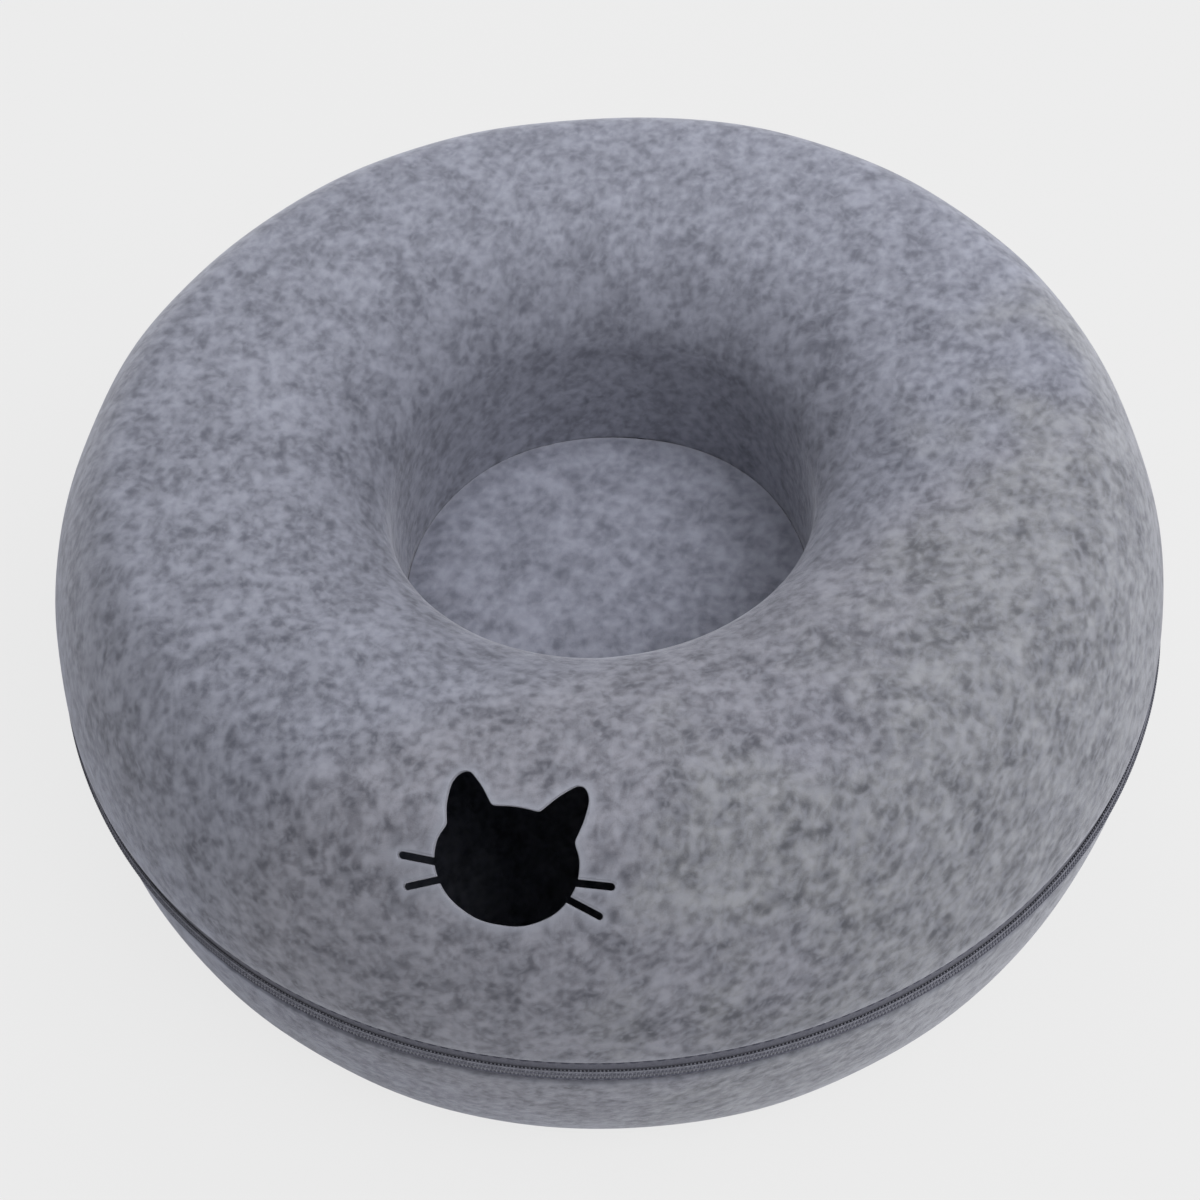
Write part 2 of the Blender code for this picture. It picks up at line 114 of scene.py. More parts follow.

# Slow changes of the felt's look, some of them painted light and shade: towards which side it changes, and
# how much in a metre
PAINTED_LIGHT_SIDE, PAINTED_LIGHT_MIDDLE = (0.25, 0.75, 0.35), 0.87  # painted light: brighter towards the back and top
CLEAR_SIDE, CLEAR_MIDDLE = (0.0, -1.1, 0.0), 0.87  # strength of the mottles
COOL_SHADE_SIDE, COOL_SHADE_TINT = (-5.0, 0.0, -8.0), (0.94, 0.97, 1.05)  # painted bluish shade, low on the left
# painted warm light at the front right
FRONT_LIGHT_SIDE, FRONT_LIGHT_TINT = (0.5, -1.0, 0.0), (1.017, 0.985, 0.94)
WARM_SIDE = (2.4, -1.8, 0.0)
# painted shade: this tint darkens the felt's colour in the well
WELL_SHADE_TINT = (0.77, 0.77, 0.78)

# Cat-face peephole
FACE_HALF_WIDTH = 0.0265
FACE_HALF_HEIGHT = 0.0233
FACE_AZIMUTH = math.radians(-102.1)
FACE_SLOPE_SHARE = 0.267
FACE_ELEVATION = math.radians(62)
FACE_TILT = math.radians(-2.5)
WHISKER_WIDTH = 0.0027
FACE_OUTLINE_SHARES = [
    (0.0, 0.80, "AUTO"),
    (0.325, 0.77, "VECTOR"),
    (0.62, 1.14, "AUTO"),
    (0.80, 1.26, "AUTO"),
    (0.925, 1.16, "AUTO"),
    (0.965, 0.82, "AUTO"),
    (0.885, 0.385, "VECTOR"),
    (0.99, 0.08, "AUTO"),
    (0.90, -0.46, "AUTO"),
    (0.50, -0.88, "AUTO"),
    (0.0, -1.0, "AUTO"),
]
WHISKER_SHARES = [((0.83, -0.21), (1.44, -0.18)), ((0.77, -0.42), (1.32, -0.64))]

# Entrance
ENTRANCE_HALF_WIDTH = 0.095
ENTRANCE_HALF_HEIGHT = 0.039
ENTRANCE_RISE = 0.054
ENTRANCE_AZIMUTH = math.radians(90)
ENTRANCE_ELEVATION = math.radians(25)

# Mat
MAT_RADIUS = 0.0949
MAT_ROUNDING = 0.001
MAT_FOOT = 0.0045
MAT_SINK = 0.0004
MAT_SWELL = 0.0011  # the furthest that a point of the mat moves when it is blown up
MAT_STILL = 0.003  # below this height above its underside the mat doesn't rise or sink
# reach of the painted highlight along the mat's rim
MAT_HIGHLIGHT_REACH = 0.0016
CLOTH_FRAMES = 16
CLOTH = {
    "use_pressure": True,
    "uniform_pressure_force": 3.0,
    "tension_stiffness": 25,
    "compression_stiffness": 25,
    "shear_stiffness": 15,
    "bending_stiffness": 4,
    "quality": 6,
}

# Zips
TAPE = 0.0008
INNER_TAPE_WIDTH = 0.011
TAPE_EDGE = 0.001
CHAIN_WIDTH = 0.0042
CHAIN_DEPTH = 0.002
CHAIN_END_GAP = 0.026
TOOTH_PITCH = 0.0015
FILAMENT = 0.00058
FILAMENT_WIDTH = 0.00072  # pressed flat, wider along the chain
TOOTH_REACH = 0.00042  # how far a tooth's head runs past the middle of the chain
TOOTH_BULGE = 0.0006  # how far the round of its head goes back
CHAIN_THREAD = 0.0002
CHAIN_THREAD_DIP = 0.00012  # between two teeth
CHAIN_THREAD_SHARE = 0.39  # its place, as a share of the chain's width from the middle
CORD_HALF = (0.00052, 0.00078)  # cord inside the coil: half its depth and half its height
CORD_SHARE = 0.31
STITCH_LENGTH = 0.0041
STITCH_PITCH = 0.0052
THREAD = 0.00055
SEAM_INSET = 0.0018  # from the felt's edge to its row of stitches on the tape

# The zips' small metal. A place along a zip is counted from the middle of its end gap, and a reach
# goes from low to high beside the middle of the chain.
SLIDER_PLACE = -0.0162
SLIDER_LENGTH = 0.011
SLIDER_HALF_WIDTH = 0.0045
SLIDER_PLATE = 0.0012
SLIDER_ROUNDING = 0.0004
POST_SIZE = (0.0007, 0.0005, 0.0003)  # half its length, half its width and its rounding
POST_PLACE = 0.0045
SLIDER_PLAY = 0.0007
END_PLAY = 0.0006
STOP_LENGTH = 0.0024
STOP_DEPTH = 0.0018
STOP_REACH = (0.001, 0.003)
BOX_LENGTH = 0.007
BOX_DEPTH = 0.0024
BOX_REACH = (-0.00395, -0.00015)
PIN_DEPTH = 0.0016
PIN_REACH = (0.00015, 0.00215)
PULL_PIVOT = 0.0011  # in front of the slider

# Camera, as the photograph was taken
LENS = 54.0
CAMERA_DISTANCE = 0.8589
CAMERA_ELEVATION = math.radians(51.3)
CAMERA_ROLL = math.radians(-4.6)
CAMERA_TARGET = Vector((-0.0041, 0.0, 0.075))

# Floor, world and lamps: name, azimuth, elevation and power of each lamp
BACKGROUND = 0.85
HORIZON = 0.812  # the same grey as the far floor
FLOOR_REACH = 40.0
WORLD_LIGHT = 0.445
LAMP_DISTANCE = 2.2
LAMP_SIZE = 1.4
LAMPS = [("key", 0, 50, 6.9), ("right", -45, 50, 20.2), ("left", 180, 75, 3.4), ("back", 90, 25, 12.6)]

# Both zips. The face is the radius of the tapes' front, the seam is how far the stitches are from
# the middle of the chain, and the azimuth is the middle of the chain's end gap.
ZIPS = [
    {
        "name": "outer",
        "height": OUTER_ZIP_HEIGHT,
        "face": OUTER_RADIUS - OUTER_ZIP_INSET,
        "tape_width": OUTER_BAND / 2 - TAPE_EDGE - GAP,
        "seam": OUTER_BAND / 2 - SEAM_INSET,
        "azimuth": math.radians(33),
    },
    {
        "name": "inner",
        "height": INNER_ZIP_HEIGHT,
        "face": THROAT_RADIUS + FELT + GAP + TAPE,
        "tape_width": INNER_TAPE_WIDTH,
        "seam": INNER_BAND / 2 + SEAM_INSET,
        "azimuth": math.radians(87),
    },
]


def quarter(centre, reach, power, count=240):
    """Quarter of a superellipse: across is centre + reach cos(t)^(2/power) and up is
    centre + reach sin(t)^(2/power), for t from 0 to a right angle."""
    angles = np.linspace(0, math.pi / 2, count)
    across = centre[0] + reach[0] * np.cos(angles) ** (2 / power)
    up = centre[1] + reach[1] * np.sin(angles) ** (2 / power)
    return np.column_stack([across, up])


def unit(vectors):
    """The same vectors, each of length one."""
    return vectors / np.linalg.norm(vectors, axis=-1, keepdims=True)


def bowed(values, power):
    """The sizes of the values raised to a power, with the signs kept."""
    return np.sign(values) * np.abs(values) ** power


def bell(values, middle, reach):
    """1 at the middle, fading as a bell curve over the reach."""
    return np.exp(-(((values - middle) / reach) ** 2))


def turn_angles(count):
    """Angles of a full turn at even spacing."""
    return np.linspace(0, 2 * math.pi, count + 1)[:-1]


def lengths_along(line):
    """Distance of each point of a line from its start."""
    return np.concatenate([[0], np.cumsum(np.linalg.norm(np.diff(line, axis=0), axis=1))])


def placed_along(line, distances, values=None):
    """Points of the line at these distances from its start, or there the values of its points."""
    along = lengths_along(line)
    values = line if values is None else values
    return np.column_stack([np.interp(distances, along, column) for column in values.T])


def softened(line, reach, closed=False):
    """The line with its corners eased: each point is a bell-weighted mean of its neighbours."""
    step = lengths_along(line)[-1] / (len(line) - 1)
    offsets = np.arange(-int(3 * reach / step) - 1, int(3 * reach / step) + 2)
    weights = np.exp(-0.5 * (offsets * step / reach) ** 2)
    weights /= weights.sum()
    if closed:
        return sum(w * np.roll(line, -k, axis=0) for w, k in zip(weights, offsets))
    before = 2 * line[0] - line[1 : len(offsets) // 2 + 1][::-1]
    after = 2 * line[-1] - line[-len(offsets) // 2 : -1][::-1]
    padded = np.vstack([before, line, after])
    eased = [np.convolve(column, weights, "same") for column in padded.T]
    return np.column_stack(eased)[len(before) : len(before) + len(line)]


def left_of(line):
    """Unit normals on the left of a line, from central differences."""
    steps = unit(np.gradient(line, axis=0))
    return np.column_stack([-steps[:, 1], steps[:, 0]])


def loop_tangents(outline):
    """Unit tangents of a closed outline, from each point's neighbours."""
    return unit(np.roll(outline, -1, axis=0) - np.roll(outline, 1, axis=0))


def graded(start, end, coarse, patches=()):
    """Positions from start to end whose step is coarse, and shrinks near each patch, which is its
    middle, its half width and its step: the count is the integral of one over the step."""
    dense = np.linspace(start, end, 6000)
    density = np.full_like(dense, 1 / coarse)
    for middle, half, fine in patches:
        near = 1 / (1 + (np.abs(dense - middle) / half) ** 10)
        density = np.maximum(density, 1 / coarse + (1 / fine - 1 / coarse) * near)
    count = np.concatenate([[0], np.cumsum((density[1:] + density[:-1]) / 2 * np.diff(dense))])
    return np.interp(np.linspace(0, count[-1], int(np.ceil(count[-1])) + 1), count, dense)


def grid_shape(points, ring_v=False):
    """Vertices, quads and triangles of a grid of points (u, v, xyz) that runs on from its last u to
    its first. A ring in v does the same, and otherwise a fan about their mean closes its two ends."""
    rows, columns = points.shape[:2]
    a, b = np.meshgrid(np.arange(rows), np.arange(columns - (not ring_v)), indexing="ij")
    c, d = (a + 1) % rows, (b + 1) % columns
    quads = np.stack([a * columns + b, c * columns + b, c * columns + d, a * columns + d], -1).reshape(-1, 4)
    vertices = points.reshape(-1, 3)
    if ring_v:
        return vertices, quads, np.zeros((0, 3), int)
    row = np.arange(rows)
    following = (row + 1) % rows
    first = np.stack([following * columns, row * columns, np.full(rows, len(vertices))], -1)
    last = np.stack([row, following, row], -1) * columns + columns - 1
    last[:, 2] = len(vertices) + 1
    poles = np.stack([points[:, 0].mean(0), points[:, -1].mean(0)])
    return np.vstack([vertices, poles]), quads, np.vstack([first, last])


def facing_out(shape):
    """The same shape with its faces outward: where its volume comes out negative they are turned."""
    vertices, quads, triangles = shape
    faces = np.vstack([quads[:, [0, 1, 2]], quads[:, [0, 2, 3]], triangles])
    if np.linalg.det(vertices[faces]).sum() >= 0:
        return shape
    return vertices, quads[:, ::-1], triangles[:, ::-1]


def merged(shapes):
    """Several shapes as one."""
    starts = np.cumsum([0] + [len(shape[0]) for shape in shapes[:-1]])
    faces = [np.vstack([shape[kind] + start for shape, start in zip(shapes, starts)]) for kind in (1, 2)]
    return np.vstack([shape[0] for shape in shapes]), *faces


def round_z(shape, azimuths, radius, height):
    """Copies of a shape set round Z. Its X points outward, its Y runs along and its Z is up."""
    vertices, quads, triangles = shape
    x, y, z = (vertices + (radius, 0, height)).T
    cos, sin = np.cos(azimuths)[:, None], np.sin(azimuths)[:, None]
    placed = np.stack([x * cos - y * sin, x * sin + y * cos, np.broadcast_to(z, (len(azimuths), len(z)))], -1)
    starts = (np.arange(len(azimuths)) * len(vertices))[:, None, None]
    return placed.reshape(-1, 3), (quads + starts).reshape(-1, 4), (triangles + starts).reshape(-1, 3)


def carried_round(section, azimuths):
    """Points of a section (radius, height) carried round Z: x is r cos(a), y is r sin(a), z is the
    height. The first index is the azimuth's, and the second the section's."""
    radii, heights = section.T
    cos, sin = np.cos(azimuths)[:, None], np.sin(azimuths)[:, None]
    return np.stack([cos * radii, sin * radii, np.broadcast_to(heights, (len(azimuths), len(heights)))], -1)


def turned(section, azimuths, ring_v=True):
    """A section carried all the way round Z."""
    return grid_shape(carried_round(section, azimuths), ring_v)


def turned_part(section, azimuths):
    """A closed section carried part of the way round Z, with both ends closed."""
    return grid_shape(carried_round(section, azimuths).swapaxes(0, 1))


def swept(path, radius, sides=6, flat=1.0):
    """A round thread along a path in space: each point gets a ring of the radius across the path,
    set by the path's direction and the Y axis, or the X axis where the path starts along Y. Flat
    thins it across the path's own plane."""
    steps = unit(np.gradient(path, axis=0))
    sideways = unit(np.cross(steps, (0.0, 1.0, 0.0) if abs(steps[0, 1]) < 0.9 else (1.0, 0.0, 0.0)))
    upright = np.cross(sideways, steps)
    angles = turn_angles(sides)[:, None, None]
    rings = sideways[None] * np.cos(angles) * flat + upright[None] * np.sin(angles)
    return grid_shape(path[None] + rings * np.broadcast_to(radius, len(path))[None, :, None])


def offset_rings(outline, distances):
    """Copies of an anticlockwise outline, each moved outward by one of the distances."""
    tangents = loop_tangents(outline)
    outward = np.column_stack([tangents[:, 1], -tangents[:, 0]])
    return outline[:, None] + outward[:, None] * distances[None, :, None]


def plate(outline, low, high, rounding):
    """A plate with rounded edges: its outline (y, z) is carried from low to high along X, and is
    drawn in near both faces as a quarter circle of the rounding."""
    angles = np.linspace(0, math.pi / 2, 4)
    drawn_in = (1 - np.sin(angles)) * rounding
    near = rounding * (1 - np.cos(angles))
    rings = offset_rings(outline, -np.concatenate([drawn_in, drawn_in[::-1]]))
    depth = np.concatenate([low + near, high - near[::-1]])
    points = np.concatenate([np.broadcast_to(depth[None, :, None], rings.shape[:2] + (1,)), rings], -1)
    return facing_out(grid_shape(points))


def rounded_outline(half_length, half_width, rounding, count=5):
    """Rectangle about the origin with round corners, anticlockwise."""
    corners = []
    for quadrant, (y, z) in enumerate([(1, 1), (-1, 1), (-1, -1), (1, -1)]):
        angles = quadrant * math.pi / 2 + np.linspace(0, math.pi / 2, count)
        middle = np.array([y * (half_length - rounding), z * (half_width - rounding)])
        corners.append(middle + rounding * np.column_stack([np.cos(angles), np.sin(angles)]))
    return np.vstack(corners)


def show(obj):
    """The object, added to the scene."""
    bpy.context.scene.collection.objects.link(obj)
    return obj


def make(name, shape, material):
    """One object from a shape, shaded smooth, with its place in its mesh."""
    vertices, quads, triangles = facing_out(shape)
    mesh = bpy.data.meshes.new(name)
    mesh.from_pydata(vertices, [], quads.tolist() + triangles.tolist())
    mesh.polygons.foreach_set("use_smooth", np.ones(len(mesh.polygons), bool))
    mesh.materials.append(material)
    mesh.validate()
    return show(bpy.data.objects.new(name, mesh))


def made_mesh(obj):
    """A new mesh of what an object's curve or modifiers make."""
    return bpy.data.meshes.new_from_object(obj.evaluated_get(bpy.context.evaluated_depsgraph_get()))


def finish_piece(obj, body, replaced=()):
    """Tells the frame on which body a piece rides and the solids that it replaces."""
    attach(obj, body)
    if replaced:
        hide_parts(*replaced)


def points_of(mesh):
    points = np.empty(len(mesh.vertices) * 3, np.float32)
    mesh.vertices.foreach_get("co", points)
    return points.reshape(-1, 3).astype(float)


def set_points(mesh, points):
    mesh.vertices.foreach_set("co", points.astype(np.float32).ravel())
    mesh.update()


def polar(points):
    """Radius and azimuth of each point round Z."""
    return np.hypot(points[:, 0], points[:, 1]), np.arctan2(points[:, 1], points[:, 0])


def lay_uv_round(mesh, radius):
    """UV map in metres on a mesh of quads: u is the way round Z at the radius, and v is the height."""
    corners = np.empty(len(mesh.loops), np.int32)
    mesh.loops.foreach_get("vertex_index", corners)
    points = points_of(mesh)[corners]
    azimuths = polar(points)[1].reshape(-1, 4)
    azimuths += 2 * math.pi * (azimuths < azimuths.max(1, keepdims=True) - math.pi)
    flat = np.column_stack([azimuths.ravel() * radius, points[:, 2]])
    mesh.uv_layers.new(name="cloth").data.foreach_set("uv", flat.astype(np.float32).ravel())


def shoulder_line():
    """Outside of the upper ring, from the widest level to the crest."""
    reach = (OUTER_RADIUS - CREST_RADIUS, TOTAL_HEIGHT - SPLIT_HEIGHT)
    return quarter((CREST_RADIUS, SPLIT_HEIGHT), reach, SHOULDER_POWER)


def belly_line():
    """Outside of the lower ring, from the widest level to the floor."""
    return quarter((BASE_RADIUS, SPLIT_HEIGHT), (OUTER_RADIUS - BASE_RADIUS, -SPLIT_HEIGHT), BELLY_POWER)


def smooth_line(parts, count, reach):
    """The parts as one line of evenly spaced points, with its corners eased."""
    line = np.vstack(parts)
    return softened(placed_along(line, np.linspace(0, lengths_along(line)[-1], count)), reach)


def radius_at(line, height):
    """Radius of a line of (radius, height) at this height."""
    order = np.argsort(line[:, 1])
    return np.interp(height, line[order, 1], line[order, 0])


def upper_line():
    """Outside of the upper felt, from the outer zip over the crest and down the well."""
    reach = (THROAT_RADIUS - CREST_RADIUS, TOTAL_HEIGHT - THROAT_TOP)
    funnel = quarter((CREST_RADIUS, THROAT_TOP), reach, FUNNEL_POWER)
    start = OUTER_ZIP_HEIGHT + OUTER_BAND / 2
    shoulder = shoulder_line()
    first = [(radius_at(shoulder, start), start)]
    last = [(THROAT_RADIUS, INNER_ZIP_HEIGHT + INNER_BAND / 2 - THROAT_HEM)]
    return smooth_line([first, shoulder[shoulder[:, 1] > start], funnel[-2::-1], last], 1200, UPPER_EASING)


def lower_line():
    """Underside of the lower felt, from the middle of the hub down its wall, along the floor and up."""
    reach = (THROAT_RADIUS - HUB_FOOT_RADIUS, -HUB_SHOULDER)
    hub = quarter((HUB_FOOT_RADIUS, HUB_SHOULDER), reach, HUB_POWER)
    end = OUTER_ZIP_HEIGHT - OUTER_BAND / 2
    belly = belly_line()
    middle = [(0, HUB_TOP - FELT), (THROAT_RADIUS, HUB_TOP - FELT)]
    last = [(radius_at(belly, end), end)]
    return smooth_line([middle, hub, belly[belly[:, 1] < end][::-1], last], 1600, LOWER_EASING)


def end_round(point, normal, outward):
    """Rounded end of the felt, from its outer to its inner face: across it is -cos(t) of half the
    felt, and it bulges by sin(t)^0.6 of the rounding."""
    angles = np.linspace(0, math.pi, 8)[1:-1]
    middle = point + normal * FELT / 2
    across = -np.cos(angles)[:, None] * normal * FELT / 2
    return middle + across + np.sin(angles)[:, None] ** 0.6 * outward * FELT_ROUNDING


def felt_section(line, patches=(), open_start=False):
    """Closed section of felt on the left of a line, with rounded ends. Open_start leaves out the
    end on the axis."""
    first, last = 0.0 if open_start else FELT_ROUNDING, lengths_along(line)[-1] - FELT_ROUNDING
    outer_places = graded(first, last, LINE_STEP, patches)
    inner_places = graded(first, last, BACK_STEP)
    outer = placed_along(line, outer_places)
    normals = placed_along(line, outer_places, left_of(line))
    inner = placed_along(line, inner_places) + FELT * placed_along(line, inner_places, left_of(line))

    def cap(place, way):
        across, up = normals[place]
        return end_round(outer[place], normals[place], way * np.array([up, -across]))

    parts = [outer, cap(-1, 1), inner[::-1]]
    return np.vstack(parts if open_start else [*parts, cap(0, -1)[::-1]])


def placement(azimuth, radius, elevation, tilt=0.0):
    """Frame of a cut: its origin on the upper felt at this azimuth and radius, its Z outward at the
    elevation, and its X level but for the tilt."""
    line = shoulder_line()
    height = np.interp(radius, line[::-1, 0], line[::-1, 1])
    middle = Vector((radius * math.cos(azimuth), radius * math.sin(azimuth), height))
    level = Matrix.Rotation(azimuth + math.pi / 2, 4, "Z")
    outward = level @ Matrix.Rotation(math.pi / 2 - elevation, 4, "X") @ Matrix.Rotation(tilt, 4, "Z")
    return np.array(Matrix.Translation(middle) @ outward)


def face_frame():
    """Frame of the peephole, at its share of the way down from the crest to the widest level."""
    radius = CREST_RADIUS + (OUTER_RADIUS - CREST_RADIUS) * FACE_SLOPE_SHARE
    return placement(FACE_AZIMUTH, radius, FACE_ELEVATION, FACE_TILT)


def entrance_frame():
    """Frame of the entrance, at its rise above the widest level."""
    radius = radius_at(shoulder_line(), SPLIT_HEIGHT + ENTRANCE_RISE)
    return placement(ENTRANCE_AZIMUTH, radius, ENTRANCE_ELEVATION)


def even_loop(outline, step):
    """A closed outline at even spacing."""
    loop = np.vstack([outline, outline[:1]])
    total = lengths_along(loop)[-1]
    return placed_along(loop, np.linspace(0, total, int(total / step) + 1)[:-1])


def head_outline():
    """The face without whiskers, a smooth curve through its points with corners at the ear roots."""
    curve = bpy.data.curves.new("face_outline", "CURVE")
    curve.resolution_u = 12
    left = [(-across, up, kind) for across, up, kind in FACE_OUTLINE_SHARES[1:-1]]
    points = FACE_OUTLINE_SHARES + left[::-1]
    spline = curve.splines.new("BEZIER")
    spline.bezier_points.add(len(points) - 1)
    for point, (across, up, kind) in zip(spline.bezier_points, points):
        point.co = (across * FACE_HALF_WIDTH, up * FACE_HALF_HEIGHT, 0)
        point.handle_left_type = point.handle_right_type = kind
    spline.use_cyclic_u = True
    helper = show(bpy.data.objects.new("face_outline", curve))
    bpy.context.view_layer.update()
    outline = points_of(made_mesh(helper))[:, :2]
    bpy.data.objects.remove(helper)
    return softened(even_loop(outline, HEAD_LINE_STEP)[::-1], HEAD_LINE_STEP, closed=True)


def whisker_outline(root, tip, side):
    """A straight slit with a round end, from its root inside the face to its tip."""
    scale = np.array([side * FACE_HALF_WIDTH, FACE_HALF_HEIGHT])
    start, end = np.array(root) * scale, np.array(tip) * scale
    along = unit(end - start)
    across = np.array([-along[1], along[0]]) * WHISKER_WIDTH / 2
    angles = np.linspace(0, math.pi, 9)[:, None]
    tip_round = end + across * np.cos(angles) + along * np.sin(angles) * WHISKER_WIDTH / 2
    return even_loop(np.vstack([[start + across], tip_round, [start - across]]), WHISKER_LINE_STEP)[::-1]


def face_outlines():
    """Outlines of the head and of the four whiskers."""
    whiskers = [whisker_outline(root, tip, side) for side in (-1, 1) for root, tip in WHISKER_SHARES]
    return [head_outline(), *whiskers]


def entrance_outline():
    """The entrance: an ellipse at even spacing."""
    angles = turn_angles(160)
    ellipse = np.column_stack([np.cos(angles) * ENTRANCE_HALF_WIDTH, np.sin(angles) * ENTRANCE_HALF_HEIGHT])
    return even_loop(ellipse, ENTRANCE_LINE_STEP)


def felt_height(outline, frame_matrix):
    """How far the felt's outer face is from a cut's own plane, above each outline point, from the
    sign change of the superellipse equations along the cut's axis."""
    flat = np.column_stack([outline, np.zeros(len(outline)), np.ones(len(outline))])
    origins = (flat @ frame_matrix.T)[:, :3]
    steps = np.linspace(*CUT_SEARCH)
    points = origins[:, None] + steps[None, :, None] * frame_matrix[:3, 2]
    radii = np.hypot(points[..., 0], points[..., 1])

    def beyond(run, reach, low, power):
        rise = np.clip(points[..., 2] - low, 0, None) / (TOTAL_HEIGHT - low)
        return rise**power + (np.clip(run, 0, None) / reach) ** power > 1

    outer = beyond(radii - CREST_RADIUS, OUTER_RADIUS - CREST_RADIUS, SPLIT_HEIGHT, SHOULDER_POWER)
    inner = beyond(CREST_RADIUS - radii, CREST_RADIUS - THROAT_RADIUS, THROAT_TOP, FUNNEL_POWER)
    outside = np.where(radii > CREST_RADIUS, outer, inner)
    last_inside = len(steps) - 1 - np.argmax(~outside[:, ::-1], axis=1)
    return steps[last_inside]


def cutter(outline, frame_matrix, rounding):
    """A cut's solid: its outline (anticlockwise) carried along its axis, wider by the rounding at
    both faces of the felt, where it follows a quarter circle."""
    angles = np.linspace(0, math.pi / 2, 5)
    widening = rounding * (1 - np.sin(angles))
    near = -rounding * (1 - np.cos(angles))
    rings = offset_rings(outline, np.concatenate([[rounding], widening, widening[::-1], [rounding]]))
    depth = np.concatenate([[CUT_REACH], near, -FELT - near[::-1], [-FELT - CUT_REACH]])
    heights = felt_height(outline, frame_matrix)[:, None] + depth[None]
    local = np.concatenate([rings, heights[..., None], np.ones(heights.shape + (1,))], -1)
    return grid_shape((local @ frame_matrix.T)[..., :3])


def cut(obj, shapes):
    """Takes the shapes out of a mesh, each with a Boolean, and keeps the result as its mesh."""
    helpers = bpy.data.collections.new("cutters")
    for number, shape in enumerate(shapes):
        helper = make(f"cutter_{number}", shape, None)
        bpy.context.scene.collection.objects.unlink(helper)
        helpers.objects.link(helper)
    modifier = obj.modifiers.new("cuts", "BOOLEAN")
    modifier.operand_type = "COLLECTION"
    modifier.collection = helpers
    modifier.solver = "EXACT"
    bpy.context.view_layer.update()
    mesh = made_mesh(obj)
    obj.modifiers.clear()
    obj.data = mesh
    for helper in list(helpers.objects):
        bpy.data.objects.remove(helper)
    bpy.data.collections.remove(helpers)


def distance_to_loop(points, loop):
    """Distance of each point of a plane from a closed outline's segments."""
    start, end = loop, np.roll(loop, -1, axis=0)
    step = end - start
    share = np.einsum("psc,sc->ps", points[:, None] - start[None], step) / np.sum(step**2, axis=1)
    nearest = start[None] + np.clip(share, 0, 1)[..., None] * step[None]
    return np.linalg.norm(points[:, None] - nearest, axis=-1).min(1)


def edge_values(points, frame_matrix, outlines, reach):
    """1 at a cut's outline, fading over the reach as a bell curve, measured in the cut's plane."""
    inverse = np.linalg.inv(frame_matrix)
    local = points @ inverse[:3, :3].T + inverse[:3, 3]
    size = max(np.abs(outline).max() for outline in outlines) + 4 * reach
    near = np.flatnonzero((np.abs(local[:, :2]) < size).all(1) & (np.abs(local[:, 2]) < 0.07))
    values = np.zeros(len(points))
    for part in np.array_split(near, max(1, len(near) // 4000)):
        distances = np.min([distance_to_loop(local[part, :2], outline) for outline in outlines], axis=0)
        values[part] = bell(distances, 0, reach)
    return values


def store(mesh, name, values):
    """Keeps one value for each of a mesh's points."""
    mesh.attributes.new(name, "FLOAT", "POINT").data.foreach_set("value", values.astype(np.float32))


def uneven(points):
    """Moves points of the felt a little, away from or towards the ring's middle circle: a sum of
    waves round the ring and round its section, which fades out at the zips and the hub."""
    radii, azimuths = polar(points)
    around = np.arctan2(points[:, 2] - SPLIT_HEIGHT, radii - WAVE_MIDDLE)
    height = sum(
        size * np.cos(turns * azimuths + phase) * np.cos(folds * around + 2 * phase)
        for turns, folds, phase, size in WAVES
    )
    by_zip = np.clip(np.abs(points[:, 2] - SPLIT_HEIGHT) / WAVE_FADE, 0, 1) ** 2
    by_well = np.clip((points[:, 2] - THROAT_TOP) / WAVE_FADE, 0, 1) ** 2
    fade = np.where(radii < 0.15, by_well, by_zip) * np.clip(points[:, 2] / WAVE_FADE, 0, 1)
    level = np.cos(around)
    outward = np.column_stack([level * np.cos(azimuths), level * np.sin(azimuths), np.sin(around)])
    return points + WAVE_HEIGHT * (height * fade)[:, None] * outward


def zip_edge_highlight(points, side):
    """1 at the edge of the felt above (side 1) or below (side -1) the outer zip, where a highlight is
    painted.
    """
    return bell(points[:, 2], OUTER_ZIP_HEIGHT + side * OUTER_BAND / 2, EDGE_HIGHLIGHT_REACH)


def place_on(line, frame_matrix):
    """Distance from a line's start to its point nearest to a cut's middle."""
    middle = (np.hypot(*frame_matrix[:2, 3]), frame_matrix[2, 3])
    return lengths_along(line)[np.argmin(np.hypot(*(line - middle).T))]


def ring_azimuths():
    """Azimuths of the upper felt's grid, closer together at the peephole and the entrance."""
    face_half = 1.62 * FACE_HALF_WIDTH / CREST_RADIUS
    entrance_half = 1.12 * ENTRANCE_HALF_WIDTH / OUTER_RADIUS
    patches = [
        (FACE_AZIMUTH, face_half, PEEPHOLE_STEP / CREST_RADIUS),
        (ENTRANCE_AZIMUTH, entrance_half, ENTRANCE_STEP / OUTER_RADIUS),
    ]
    return graded(-math.pi, math.pi, RING_STEP / OUTER_RADIUS, patches)[:-1]


